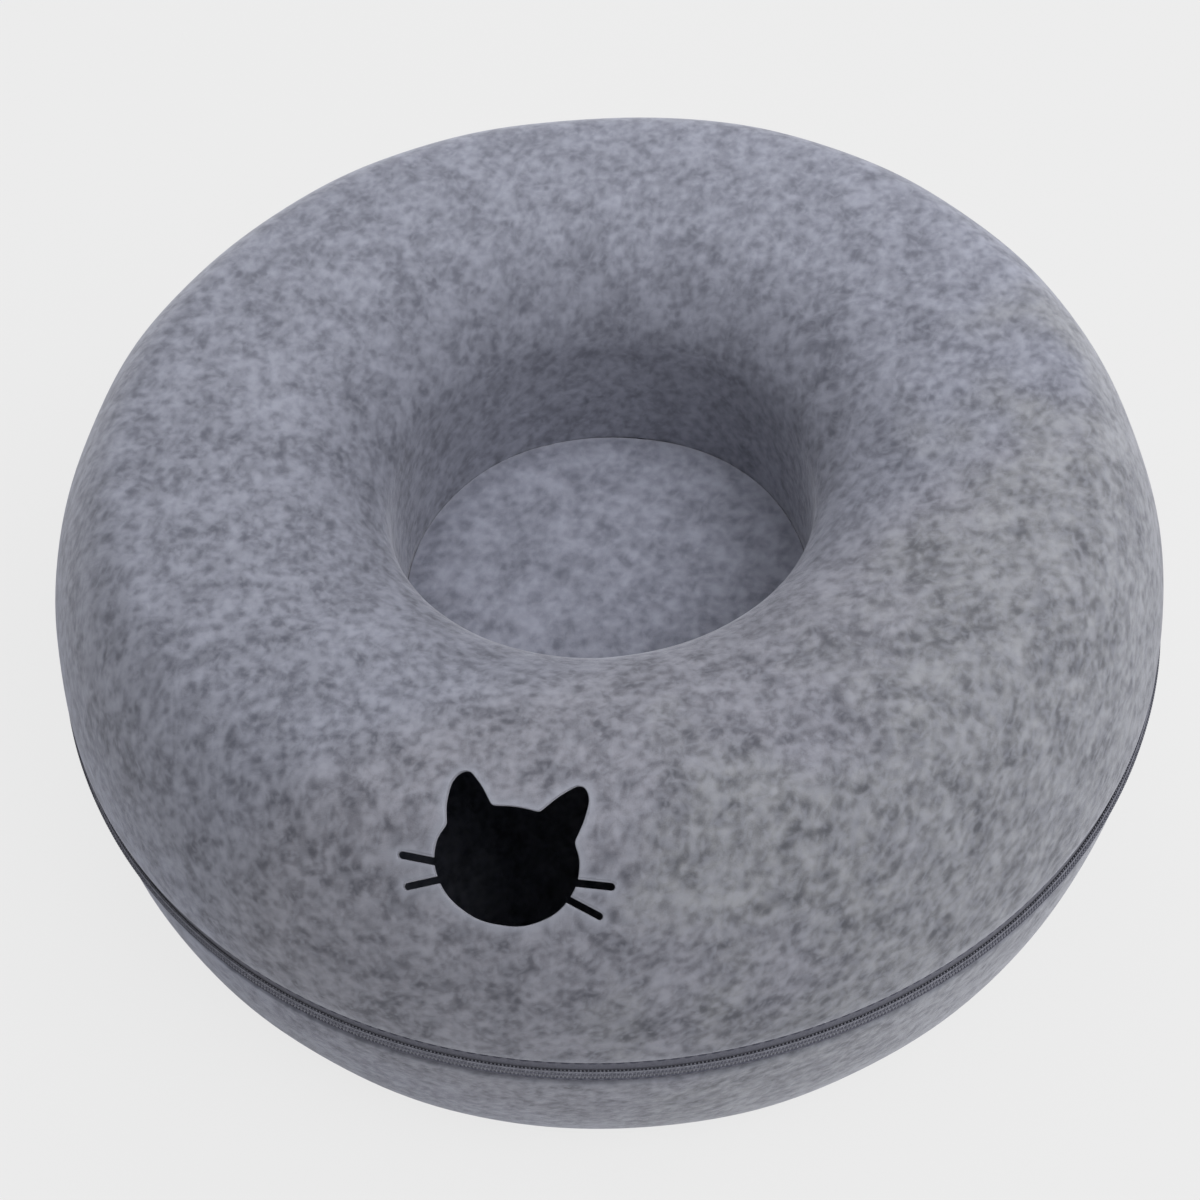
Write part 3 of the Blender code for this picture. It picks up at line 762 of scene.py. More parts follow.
def felt_upper(material):
    """The upper ring: a felt section turned round Z, with the peephole and the entrance cut out."""
    line = upper_line()
    face, entrance = face_frame(), entrance_frame()
    patches = [
        (place_on(line, face), 1.35 * FACE_HALF_HEIGHT, PEEPHOLE_STEP),
        (place_on(line, entrance), 1.1 * ENTRANCE_HALF_HEIGHT, ENTRANCE_STEP),
    ]
    obj = make("felt_upper_ring", turned(felt_section(line, patches), ring_azimuths()), material)
    outlines = face_outlines()
    cuts = [cutter(outline, face, CUT_ROUNDING) for outline in outlines]
    cuts.append(cutter(entrance_outline(), entrance, ENTRANCE_ROUNDING))
    cut(obj, cuts)
    points = points_of(obj.data)
    radii = polar(points)[0]
    # painted highlight along the peephole, the entrance and the felt's edge over the zip
    glows = [
        edge_values(points, face, outlines, EDGE_HIGHLIGHT_REACH),
        0.7 * edge_values(points, entrance, [entrance_outline()], EDGE_HIGHLIGHT_REACH),
        0.55 * zip_edge_highlight(points, 1) * (radii > CREST_RADIUS),
    ]
    store(obj.data, "painted_highlight", np.max(glows, axis=0))
    # painted shade in the well: 1 at its throat, fading to 0 further out
    share = np.clip((WELL_SHADE_REACH - radii) / (WELL_SHADE_REACH - THROAT_RADIUS - FELT), 0, 1)
    store(obj.data, "well", share**2 * (3 - 2 * share))
    set_points(obj.data, uneven(points))
    finish_piece(obj, "upper", ["upper_shell"])


def felt_lower(material):
    """The lower ring with its hub: a felt section turned round Z, closed on the axis."""
    section = felt_section(lower_line(), open_start=True)
    azimuths = graded(0, 2 * math.pi, RING_STEP / OUTER_RADIUS)[:-1]
    obj = make("felt_lower_ring", turned(section[1:-1], azimuths, ring_v=False), material)
    points = points_of(obj.data)
    # painted highlight along the felt's edge under the zip
    store(obj.data, "painted_highlight", 0.4 * zip_edge_highlight(points, -1))
    set_points(obj.data, uneven(points))
    finish_piece(obj, "lower", ["lower_shell"])


def mat_shape():
    """The mat at rest: a disc turned from a flat top and bottom joined at its edge by quarter
    superellipses and a short side."""
    low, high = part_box("centre_mat")
    bottom, top = low.z, high.z - MAT_SINK
    under = quarter((MAT_RADIUS - MAT_FOOT, bottom + MAT_FOOT), (MAT_FOOT, -MAT_FOOT), 2.0, 7)[::-1]
    over = quarter((MAT_RADIUS - MAT_ROUNDING, top - MAT_ROUNDING), (MAT_ROUNDING, MAT_ROUNDING), 2.4, 9)
    inward = np.linspace(0.03, 1, 26)[:, None] ** 0.8
    flat_under = np.column_stack([inward * under[0, 0], np.full(26, bottom)])[:-1]
    flat_over = np.column_stack([inward * over[-1, 0], np.full(26, top)])[-2::-1]
    section = np.vstack([flat_under, under, over, flat_over])
    return turned(section, turn_angles(180), ring_v=False)


def soft_mat(material):
    """The mat, blown up a little. Its top then sags by waves round its middle that grow with the
    radius, and by a product of sines across it."""
    obj = make("soft_mat", mat_shape(), material)
    points = points_of(obj.data)
    points = puffed(obj, points)
    low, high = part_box("centre_mat")
    radii, azimuths = polar(points)
    share = radii / high.x
    sag = 0.0006 * np.cos(2 * azimuths + 0.8) * share**2 + 0.0004 * np.cos(5 * azimuths + 2.1) * share**4
    sag += 0.0005 * np.sin(points[:, 0] * 47 + 0.7) * np.sin(points[:, 1] * 39 + 1.9)
    points[:, 2] += sag * np.clip((points[:, 2] - low.z) / (high.z - low.z), 0, 1)
    points[:, :2] *= np.minimum(1, MAT_RADIUS / np.maximum(radii, 1e-9))[:, None]
    set_points(obj.data, points)
    # painted highlight along the mat's rim
    store(obj.data, "painted_highlight", 0.4 * bell(radii, MAT_RADIUS, MAT_HIGHLIGHT_REACH))
    finish_piece(obj, "mat", ["centre_mat"])


def puffed(obj, rest):
    """The mat blown up a little as cloth, so that its faces swell and its edge gathers."""
    modifier = obj.modifiers.new("cloth", "CLOTH")
    for key, value in CLOTH.items():
        setattr(modifier.settings, key, value)
    modifier.settings.effector_weights.gravity = 0
    modifier.collision_settings.use_collision = False
    scene = bpy.context.scene
    for frame_number in range(1, CLOTH_FRAMES + 1):
        scene.frame_set(frame_number)
    mesh = made_mesh(obj)
    moved = points_of(mesh) - rest
    bpy.data.meshes.remove(mesh)
    obj.modifiers.clear()
    scene.frame_set(1)
    distance = np.linalg.norm(moved, axis=1)[:, None]
    capped = moved * np.minimum(1, MAT_SWELL / np.maximum(distance, 1e-9))
    capped[:, 2] *= rest[:, 2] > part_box("centre_mat")[0].z + MAT_STILL
    return rest + capped


def tape_section(line):
    """Closed section of a zip tape on the left of a line, with round edges."""
    normals = left_of(line)
    angles = np.linspace(0, math.pi, 6)[1:-1, None]
    half = TAPE / 2

    def edge(place, inner, way):
        middle = line[place] + normals[place] * half
        outward = unit(line[place] - line[inner]) * 0.8
        return middle - way * np.cos(angles) * normals[place] * half + np.sin(angles) * outward * half

    return np.vstack([line, edge(-1, -2, 1), (line + normals * TAPE)[::-1], edge(0, 1, -1)])


def zip_halves():
    """Both halves of both zips: the zip, the side (1 above), the body's name and the half's."""
    for zip_line in ZIPS:
        for side, word in ((1, "upper"), (-1, "lower")):
            yield zip_line, side, word, f"{zip_line['name']}_{word}"


def tape_line(zip_line, side):
    """Back of one half of a zip's tape, from beside the chain to its outer edge."""
    heights = zip_line["height"] + side * np.linspace(TAPE_EDGE, TAPE_EDGE + zip_line["tape_width"], 12)
    return np.column_stack([np.full(len(heights), zip_line["face"] - TAPE), heights])[::-side]


def tapes(material):
    """The four zip tapes: a flat section with round edges turned round Z."""
    for zip_line, side, word, name in zip_halves():
        section = tape_section(tape_line(zip_line, side))
        obj = make(name + "_woven_tape", turned(section, turn_angles(360)), material)
        lay_uv_round(obj.data, zip_line["face"])
        finish_piece(obj, word, [name + "_tape"])


def tooth_shape(side):
    """One coil tooth: a filament that runs out over the tape, round the head and back."""
    front, back = CHAIN_DEPTH - FILAMENT / 2, FILAMENT / 2
    far = CHAIN_WIDTH / 2
    angles = np.linspace(0, math.pi, 6)
    head_out = -TOOTH_REACH + FILAMENT / 2 + TOOTH_BULGE * (1 - np.sin(angles))
    head = np.column_stack([(front + back) / 2 + (front - back) / 2 * np.cos(angles), head_out])
    path = np.vstack([[(front, far)], [(front, far * 0.55)], head, [(back, far * 0.55)], [(back, far)]])
    points = np.column_stack([path[:, 0], np.zeros(len(path)), side * path[:, 1]])
    return swept(points, FILAMENT_WIDTH / 2, flat=FILAMENT / FILAMENT_WIDTH)


def chain_thread_shape(face, height, side, azimuths):
    """The thread sewn over the teeth's legs: a ring that rises over each leg and dips between."""
    bump = 0.5 + 0.5 * np.cos(azimuths * face / TOOTH_PITCH * 2 * math.pi)
    angles = turn_angles(5)[:, None]
    radius = face + GAP + CHAIN_DEPTH - CHAIN_THREAD_DIP + CHAIN_THREAD_DIP * bump
    r = radius[None] + CHAIN_THREAD * np.cos(angles)
    middle = height + side * CHAIN_WIDTH * CHAIN_THREAD_SHARE
    z = np.broadcast_to(middle + 1.5 * CHAIN_THREAD * np.sin(angles), r.shape)
    return grid_shape(np.stack([r * np.cos(azimuths), r * np.sin(azimuths), z], -1))


def chain_cord_shape(face, height, side, azimuths):
    """The cord that fills the coil: an ellipse between the teeth's legs, carried round Z."""
    angles = turn_angles(10)
    radii = face + GAP + CHAIN_DEPTH / 2 + CORD_HALF[0] * np.cos(angles)
    heights = height + side * CHAIN_WIDTH * CORD_SHARE + CORD_HALF[1] * np.sin(angles)
    return turned_part(np.column_stack([radii, heights]), azimuths)


def chains(teeth, thread):
    """The four rows of teeth at even spacing, one side half a pitch on, each with its thread and cord."""
    for zip_line, side, word, name in zip_halves():
        face, height = zip_line["face"], zip_line["height"]
        gap = CHAIN_END_GAP / face
        count = int((2 * math.pi - gap) * face / TOOTH_PITCH)
        starts = zip_line["azimuth"] + gap / 2 + (np.arange(count) + 0.25) * TOOTH_PITCH / face
        places = starts + (TOOTH_PITCH / 2 / face if side < 0 else 0)
        ring = np.linspace(places[0], places[-1], 3 * count)
        coil = round_z(tooth_shape(side), places, face + GAP, height)
        finish_piece(make(name + "_coil_teeth", coil, teeth), word, [name + "_teeth"])
        sewn = chain_thread_shape(face, height, side, ring)
        finish_piece(make(name + "_chain_thread", sewn, thread), word)
        cord = chain_cord_shape(face, height, side, ring)
        finish_piece(make(name + "_chain_cord", cord, teeth), word)


def stitch_shape():
    """One stitch: a thread that comes up, lies along and goes down, its height a flat arch."""
    share = np.linspace(-1, 1, 8)
    height = THREAD * (0.35 - 1.1 * np.abs(share) ** 3.5)
    path = np.column_stack([height, share * STITCH_LENGTH / 2, np.zeros(len(share))])
    return swept(path, THREAD / 2 * (1 - 0.25 * np.abs(share) ** 4))


def seam_rows(material):
    """Rows of stitches along the tapes' sewn edges, on the face and on the back of each tape."""
    vertices, quads, triangles = stitch_shape()
    for zip_line, side, word, name in zip_halves():
        for face, depth, out in (("front", 0.0, 1), ("back", -TAPE, -1)):
            radius = zip_line["face"] + depth
            count = int(2 * math.pi * radius / STITCH_PITCH)
            azimuths = np.arange(count) * 2 * math.pi / count
            height = zip_line["height"] + side * zip_line["seam"]
            shape = round_z((vertices * (out, 1, 1), quads, triangles), azimuths, radius, height)
            finish_piece(make(f"{name}_{face}_stitches", shape, material), word)


def spot(zip_line, along):
    """Azimuth of a place along a zip, counted from the middle of its end gap."""
    return np.array([zip_line["azimuth"] + along / zip_line["face"]])


def small_metal(material):
    """Top stops, retainer boxes and pins, each a block with rounded edges where the frame has it."""
    stop_place = SLIDER_PLACE + SLIDER_LENGTH / 2 + END_PLAY + STOP_LENGTH / 2
    box_place = CHAIN_END_GAP / 2 - END_PLAY - BOX_LENGTH / 2
    blocks = [
        ("_upper_top_stop", "upper", stop_place, STOP_LENGTH, STOP_REACH, STOP_DEPTH),
        ("_lower_top_stop", "lower", stop_place, STOP_LENGTH, (-STOP_REACH[1], -STOP_REACH[0]), STOP_DEPTH),
        ("_retainer_box", "lower", box_place, BOX_LENGTH, BOX_REACH, BOX_DEPTH),
        ("_insertion_pin", "upper", box_place, BOX_LENGTH, PIN_REACH, PIN_DEPTH),
    ]
    for zip_line in ZIPS:
        for suffix, body, along, length, (low, high), depth in blocks:
            name = zip_line["name"] + suffix
            rounding = min(high - low, depth) * 0.28
            outline = rounded_outline(length / 2, (high - low) / 2, rounding)
            block = plate(outline + (0, (low + high) / 2), 0, depth, rounding * 0.8)
            shape = round_z(block, spot(zip_line, along), zip_line["face"] + GAP, zip_line["height"])
            finish_piece(make(name + "_piece", shape, material), body, [name])


def slider_outline():
    """A slider's plate seen from the front: wide shoulders at the end that the open chain enters,
    a narrower tail, and round corners."""
    share = turn_angles(48)
    half = SLIDER_LENGTH / 2
    y = half * bowed(np.cos(share), 0.55)
    z = SLIDER_HALF_WIDTH * bowed(np.sin(share), 0.6)
    taper = 1 - 0.16 * (1 - y / half) / 2 - 0.05 * np.cos(y / half * math.pi)
    return np.column_stack([y, z * np.clip(taper, 0, 1)])


def bail_shape(front):
    """The low arch on the slider's front plate that carries the pull: a flat bar bent along Z, its
    feet sunk in the plate."""
    share = np.linspace(-1, 1, 15)
    half, opening, bar, width, sunk = 0.0037, 0.0022, 0.001, 0.0016, 0.0004
    x = front - sunk + (opening + bar / 2 + sunk) * (1 - np.abs(share) ** 5)
    path = np.column_stack([x, np.zeros(len(share)), half * bowed(share, 0.8)])
    normal = np.cross(unit(np.gradient(path, axis=0)), (0.0, 1.0, 0.0))
    angles = turn_angles(12)[:, None, None]
    across = bowed(np.cos(angles), 0.6) * width / 2
    thick = bowed(np.sin(angles), 0.6) * bar / 2
    return facing_out(grid_shape(path[None] + thick * normal[None] + across * (0.0, 1.0, 0.0)))


def pull_shape():
    """The pull hangs along Y in its own plane: a tab with a window at its pivot. Its section runs
    from the outer edge over a raised rim and a sunk field to the window, and back below. Its outline
    is as wide as two quarter circles at its ends allow, with a waist and a wider tip."""
    angles = turn_angles(64)
    window_near, window_far, window_half = 0.0005, 0.0054, 0.0013
    half_width, near, far, half_thick = 0.0025, -0.0005, 0.0225, 0.0006
    share = (1 - np.cos(angles)) / 2
    window = [window_far + (window_near - window_far) * share, window_half * bowed(np.sin(angles), 0.45)]
    y = far + (near - far) * share**1.35
    form = 1 - 0.18 * bell(y, 0.0095, 0.0035) + 0.12 * bell(y, 0.018, 0.004)
    ends = [np.clip((far - y) / half_width, 0, 1), np.clip((y - near) / 0.0008, 0, 1)]
    size = np.sqrt(1 - (1 - ends[0]) ** 2) * np.sqrt(1 - (1 - ends[1]) ** 2)
    edge = [y, half_width * size * form * np.sign(np.sin(angles))]
    rim = [(0, 0), (0.02, 0.75), (0.07, 1), (0.16, 1), (0.22, 0.72)]
    rim += [(0.8, 0.72), (0.9, 0.9), (0.98, 0.7), (1, 0)]
    profile = np.array(rim + [(inward, -height) for inward, height in rim[-2:0:-1]])
    inward = profile[None, :, :1]
    points = np.column_stack(window)[:, None] * inward + np.column_stack(edge)[:, None] * (1 - inward)
    depth = np.broadcast_to(half_thick * profile[None, :, 1:], points.shape[:2] + (1,))
    return grid_shape(np.concatenate([depth, points], -1), ring_v=True)


def sliders(material):
    """Each slider: two plates, the post that joins them, and the bail. Each pull hangs in its bail."""
    back_face = -TAPE - SLIDER_PLAY
    front_face = GAP + CHAIN_DEPTH + SLIDER_PLAY
    front = front_face + SLIDER_PLATE
    outline = slider_outline()
    post = rounded_outline(*POST_SIZE) + (POST_PLACE, 0)
    parts = [
        plate(outline, back_face - SLIDER_PLATE, back_face, SLIDER_ROUNDING),
        plate(outline, front_face, front, SLIDER_ROUNDING),
        plate(post, back_face - SLIDER_PLATE / 2, front_face + SLIDER_PLATE / 2, 0.0001),
        bail_shape(front),
    ]
    vertices, quads, triangles = pull_shape()
    pull = ((vertices + (front + PULL_PIVOT, 0, 0)) * (1, -1, 1), quads, triangles)
    for zip_line in ZIPS:
        for word, shape in (("_slider", merged(parts)), ("_pull", pull)):
            name = zip_line["name"] + word
            placed = round_z(shape, spot(zip_line, SLIDER_PLACE), zip_line["face"], zip_line["height"])
            finish_piece(make(name + "_piece", placed, material), name, [name])


def add_node(tree, kind, inputs=None, **settings):
    """A node with its settings, and its inputs linked where a socket is given, or else set."""
    node = tree.nodes.new("ShaderNode" + kind)
    for key, value in settings.items():
        setattr(node, key, value)
    for key, value in (inputs or {}).items():
        if isinstance(value, bpy.types.NodeSocket):
            tree.links.new(value, node.inputs[key])
        else:
            node.inputs[key].default_value = value
    return node


def math_node(tree, operation, first, second=0.0, clamp=False):
    node = add_node(tree, "Math", {0: first, 1: second}, operation=operation, use_clamp=clamp)
    return node.outputs[0]


def plus(tree, first, second):
    return math_node(tree, "ADD", first, second)


def minus(tree, first, second, clamp=False):
    return math_node(tree, "SUBTRACT", first, second, clamp)


def times(tree, first, second):
    return math_node(tree, "MULTIPLY", first, second)


def wave(tree, value, length):
    """Sine of a value whose whole turn is the length."""
    return math_node(tree, "SINE", times(tree, value, 2 * math.pi / length))


def vector_node(tree, operation, first, second):
    """A vector maths node, whose second input is the scale where the operation is SCALE."""
    inputs = {0: first, 3 if operation == "SCALE" else 1: second}
    return add_node(tree, "VectorMath", inputs, operation=operation).outputs[0]


def ramp_node(tree, value, low, high, to_low=0.0, to_high=1.0):
    """Smooth step of a value from low to high."""
    inputs = {0: value, 1: low, 2: high, 3: to_low, 4: to_high}
    return add_node(tree, "MapRange", inputs, interpolation_type="SMOOTHSTEP").outputs[0]


def mix_colour(tree, share, first, second, blend="MIX"):
    inputs = {0: share, 6: opaque(first), 7: opaque(second)}
    return add_node(tree, "Mix", inputs, data_type="RGBA", blend_type=blend).outputs[2]


def opaque(colour):
    """A colour's three values with a fourth of one, or the socket that it is."""
    return colour if isinstance(colour, bpy.types.NodeSocket) else (*colour, 1)


def noise(tree, vector, scale, detail=2.0, roughness=0.5, output=0):
    inputs = {"Vector": vector, "Scale": scale, "Detail": detail, "Roughness": roughness}
    return add_node(tree, "TexNoise", inputs).outputs[output]


def new_group(name, inputs, outputs):
    """An empty shader group with named inputs of these kinds and number outputs, and its two ends."""
    group = bpy.data.node_groups.new(name, "ShaderNodeTree")
    for key, kind in inputs.items():
        group.interface.new_socket(key, in_out="INPUT", socket_type="NodeSocket" + kind)
    for key in outputs:
        group.interface.new_socket(key, in_out="OUTPUT", socket_type="NodeSocketFloat")
    return group, group.nodes.new("NodeGroupInput"), group.nodes.new("NodeGroupOutput")


def fibres_group():
    """Short fibres that lie in one direction: a noise stretched along it, bent by a slow noise.
    Turn sets the direction, Density is how many lie side by side in a metre, and Slender is how
    many times longer than wide they are."""
    group, given, result = new_group(
        "lying_fibres",
        {"Vector": "Vector", "Turn": "Vector", "Density": "Float", "Slender": "Float"},
        ["Value"],
    )
    vector, turn, density = (given.outputs[key] for key in ("Vector", "Turn", "Density"))
    shifted = vector_node(group, "ADD", vector, turn)
    bend = noise(group, shifted, times(group, density, 0.17), 0.0, output=1)
    bend = vector_node(group, "SUBTRACT", bend, (0.5, 0.5, 0.5))
    reach = math_node(group, "DIVIDE", 2.2, density)
    bent = vector_node(group, "ADD", vector, vector_node(group, "SCALE", bend, reach))
    length = math_node(group, "DIVIDE", density, given.outputs["Slender"])
    scale = add_node(group, "CombineXYZ", {0: length, 1: density, 2: density})
    lying = add_node(group, "Mapping", {"Vector": bent, "Rotation": turn}, vector_type="POINT")
    scaled = vector_node(group, "MULTIPLY", lying.outputs[0], scale.outputs[0])
    group.links.new(noise(group, scaled, 1.0, 0.0), result.inputs["Value"])
    return group


def felt_group(fibres):
    """Needle felt: strands that lie every way, of which the highest are pale and the lowest dark,
    over a mottled ground, with much finer hair on them, and the height of it all."""
    outputs = ["Pale", "Dark", "Mottle", "Height"]
    group, given, result = new_group("needle_felt", {"Vector": "Vector", "Density": "Float"}, outputs)
    vector, density = given.outputs["Vector"], given.outputs["Density"]

    def layer(turn, density_share, slender):
        shared = times(group, density, density_share)
        inputs = {"Vector": vector, "Density": shared, "Turn": turn, "Slender": slender}
        return add_node(group, "Group", inputs, node_tree=fibres).outputs[0]

    pale, dark, total, hair = 0.0, 0.0, 0.0, 0.0
    for turn, density_share in [
        ((0.3, 0.5, 0.2), 1.0),
        ((1.1, 0.2, 1.3), 1.2),
        ((0.4, 1.3, 2.4), 0.85),
        ((2.0, 0.9, 0.7), 1.5),
        ((0.7, 2.3, 1.7), 1.05),
    ]:
        value = layer(turn, density_share, 2.1)
        pale = math_node(group, "MAXIMUM", pale, ramp_node(group, value, 0.5, 0.85))
        dark = math_node(group, "MAXIMUM", dark, ramp_node(group, value, 0.5, 0.15))
        total = plus(group, total, minus(group, value, 0.5))
    for turn in [(0.9, 0.1, 0.5), (2.2, 1.4, 0.3), (1.6, 0.6, 2.6)]:
        hair = math_node(group, "MAXIMUM", hair, ramp_node(group, layer(turn, 11.0, 16.0), 0.54, 0.68))
    clumps = noise(group, vector, times(group, density, 0.56), 0.6)
    blotch = noise(group, vector, times(group, density, 0.17))
    mottle = plus(group, times(group, clumps, 0.51), times(group, blotch, 0.49))
    mottle = plus(group, mottle, times(group, total, 0.1))
    mottle = plus(group, mottle, times(group, minus(group, hair, 0.4), 0.05))
    raised = minus(group, pale, times(group, dark, 0.8))
    height = plus(group, times(group, raised, 0.35), mottle)
    height = plus(group, height, times(group, hair, 0.05))
    for key, value in zip(outputs, (pale, dark, mottle, height)):
        group.links.new(value, result.inputs[key])
    return group


def new_material(name, **values):
    """A material, its nodes and its shader, which has these values on its own inputs. A key's
    underscores stand for spaces."""
    material = bpy.data.materials.new(name)
    material.use_nodes = True
    shader = material.node_tree.nodes["Principled BSDF"]
    for key, value in values.items():
        shader.inputs[key.replace("_", " ")].default_value = value
    return material, material.node_tree, shader


def object_place(tree):
    """The place on the object, in metres."""
    return add_node(tree, "TexCoord").outputs["Object"]


def dress(tree, shader, colour, height, strength, distance, rough=None):
    """Links a shader's colour, its bump and, where given, its roughness."""
    tree.links.new(colour, shader.inputs["Base Color"])
    bump = add_node(tree, "Bump", {"Height": height, "Strength": strength, "Distance": distance})
    tree.links.new(bump.outputs[0], shader.inputs["Normal"])
    if rough is not None:
        tree.links.new(rough, shader.inputs["Roughness"])


def felt_material(name, group, ground, warm_tint, pale, dark, density, bump, strands):
    """Melange grey felt: mottles between two greys with pale and dark fibres, and a fuzzy sheen. It
    is warmer in patches on the right, and its mottles are weaker towards the back. Light and shade
    are painted in its colour too: bluer shade low on the left, warm light at the front, shade in the
    well, light towards the back and top, and highlights along cut and sewn edges."""
    material, tree, shader = new_material(
        name,
        Roughness=0.95,
        Sheen_Weight=0.5,
        Sheen_Roughness=0.4,
        Sheen_Tint=(0.9, 0.91, 1.0, 1),
        Specular_IOR_Level=0.2,
    )
    vector = object_place(tree)
    fibres = add_node(tree, "Group", {"Vector": vector, "Density": density}, node_tree=group).outputs

    def towards(side):
        return add_node(tree, "VectorMath", {0: vector, 1: side}, operation="DOT_PRODUCT").outputs[1]

    def tinted(share, colour, tint):
        return mix_colour(tree, share, colour, mix_colour(tree, 1.0, colour, tint, "MULTIPLY"))

    def stored(attribute):
        return add_node(tree, "Attribute", attribute_name=attribute).outputs["Fac"]

    clear = plus(tree, towards(CLEAR_SIDE), CLEAR_MIDDLE)
    tone = minus(tree, ramp_node(tree, fibres["Mottle"], 0.2, 0.8), 0.5)
    tone = plus(tree, times(tree, tone, clear), 0.5)
    colour = mix_colour(tree, tone, *ground)
    # painted bluish shade low on the left
    colour = tinted(ramp_node(tree, towards(COOL_SHADE_SIDE), -0.35, 0.15), colour, COOL_SHADE_TINT)
    patches = noise(tree, vector, 16.0, 3.0)
    warm = ramp_node(tree, plus(tree, patches, towards(WARM_SIDE)), 0.84, 1.08, 0.0, 0.9)
    # painted warm light at the front right, left out where the warm patches are
    front = minus(tree, ramp_node(tree, towards(FRONT_LIGHT_SIDE), 0.09, 0.135), warm, clamp=True)
    colour = tinted(front, colour, FRONT_LIGHT_TINT)
    colour = tinted(warm, colour, warm_tint)
    for key, share, fibre in (("Dark", 0.5, dark), ("Pale", 1.15, pale)):
        seen = times(tree, times(tree, fibres[key], share * strands), clear)
        colour = mix_colour(tree, seen, colour, fibre)
    # painted shade in the well
    colour = tinted(stored("well"), colour, WELL_SHADE_TINT)
    # painted highlight along cut and sewn edges, in the pale fibres' colour
    colour = mix_colour(tree, times(tree, stored("painted_highlight"), 0.75), colour, pale)
    # painted light: the colour is scaled up towards the back and top
    colour = vector_node(tree, "SCALE", colour, plus(tree, towards(PAINTED_LIGHT_SIDE), PAINTED_LIGHT_MIDDLE))
    rough = ramp_node(tree, fibres["Mottle"], 0.3, 0.7, 0.98, 0.88)
    dress(tree, shader, colour, fibres["Height"], bump, 0.0009, rough)
    return material


def weave_material(name, dark, light):
    """Zip tape: a herringbone twill, from the tape's own UV map in metres. A rib is the sine of the
    way round plus or minus the height, and turns over from one column to the next."""
    material, tree, shader = new_material(name, Roughness=0.85, Sheen_Weight=0.15)
    uv = add_node(tree, "UVMap", uv_map="cloth").outputs[0]
    along, across = add_node(tree, "SeparateXYZ", {0: uv}).outputs[:2]
    column = math_node(tree, "PINGPONG", across, 0.0016)
    rib = wave(tree, plus(tree, along, column), 0.0007)
    warp = wave(tree, across, 0.0005)
    height = plus(tree, times(tree, rib, 0.5), times(tree, warp, 0.25))
    tone = plus(tree, times(tree, height, 0.3), noise(tree, object_place(tree), 900.0))
    dress(tree, shader, mix_colour(tree, ramp_node(tree, tone, 0.2, 0.85), dark, light), height, 0.5, 0.00015)
    return material


def filament_material(name, dark, light, roughness):
    """Nylon teeth: a grey that varies from tooth to tooth, scuffed here and there."""
    material, tree, shader = new_material(name, Roughness=roughness)
    vector = object_place(tree)
    tone = ramp_node(tree, noise(tree, vector, 480.0), 0.35, 0.65)
    scuff = noise(tree, vector, 2600.0)
    rough = ramp_node(tree, scuff, 0.4, 0.7, roughness, roughness + 0.25)
    dress(tree, shader, mix_colour(tree, tone, dark, light), scuff, 0.2, 0.00005, rough)
    return material


def thread_material(name, dark, light):
    """Sewing thread: plied strands drawn as slanting bands, with a little fuzz."""
    material, tree, shader = new_material(name, Roughness=0.8)
    vector = object_place(tree)
    x, y, z = add_node(tree, "SeparateXYZ", {0: vector}).outputs
    ply = wave(tree, plus(tree, plus(tree, x, y), times(tree, z, 2.0)), 0.0006)
    tone = plus(tree, times(tree, ply, 0.2), noise(tree, vector, 1500.0))
    dress(tree, shader, mix_colour(tree, ramp_node(tree, tone, 0.25, 0.75), dark, light), tone, 0.5, 0.0001)
    return material


def metal_material(name, paint, bare):
    """Dark painted zinc with fine pits and bare metal where it is rubbed."""
    material, tree, shader = new_material(name, Roughness=0.42, Metallic=0.6)
    vector = object_place(tree)
    pits = noise(tree, vector, 1800.0, 3.0, 0.6)
    rubbed = ramp_node(tree, noise(tree, vector, 420.0, 4.0, 0.65), 0.6, 0.72)
    colour = mix_colour(tree, times(tree, rubbed, 0.55), paint, bare)
    dress(tree, shader, colour, pits, 0.12, 0.00006, ramp_node(tree, pits, 0.35, 0.7, 0.34, 0.55))
    return material


def seen_directly(tree):
    """1 for what the camera sees, itself or in a glossy reflection."""
    seen = add_node(tree, "LightPath").outputs
    return math_node(tree, "MAXIMUM", seen["Is Camera Ray"], seen["Is Glossy Ray"])


def floor_material():
    """Pale floor: to the camera and in reflections mostly an even pale grey, with a faint shadow."""
    values = {"Roughness": 0.9, "Base_Color": (0.8, 0.8, 0.8, 1), "Specular_IOR_Level": 0.0}
    material, tree, shader = new_material("pale_floor", **values)
    glow = add_node(tree, "Emission", {"Color": (BACKGROUND, BACKGROUND, BACKGROUND, 1), "Strength": 1.0})
    share = times(tree, seen_directly(tree), 0.9)
    mix = add_node(tree, "MixShader", {0: share, 1: shader.outputs[0], 2: glow.outputs[0]})
    tree.links.new(mix.outputs[0], tree.nodes["Material Output"].inputs["Surface"])
    return material


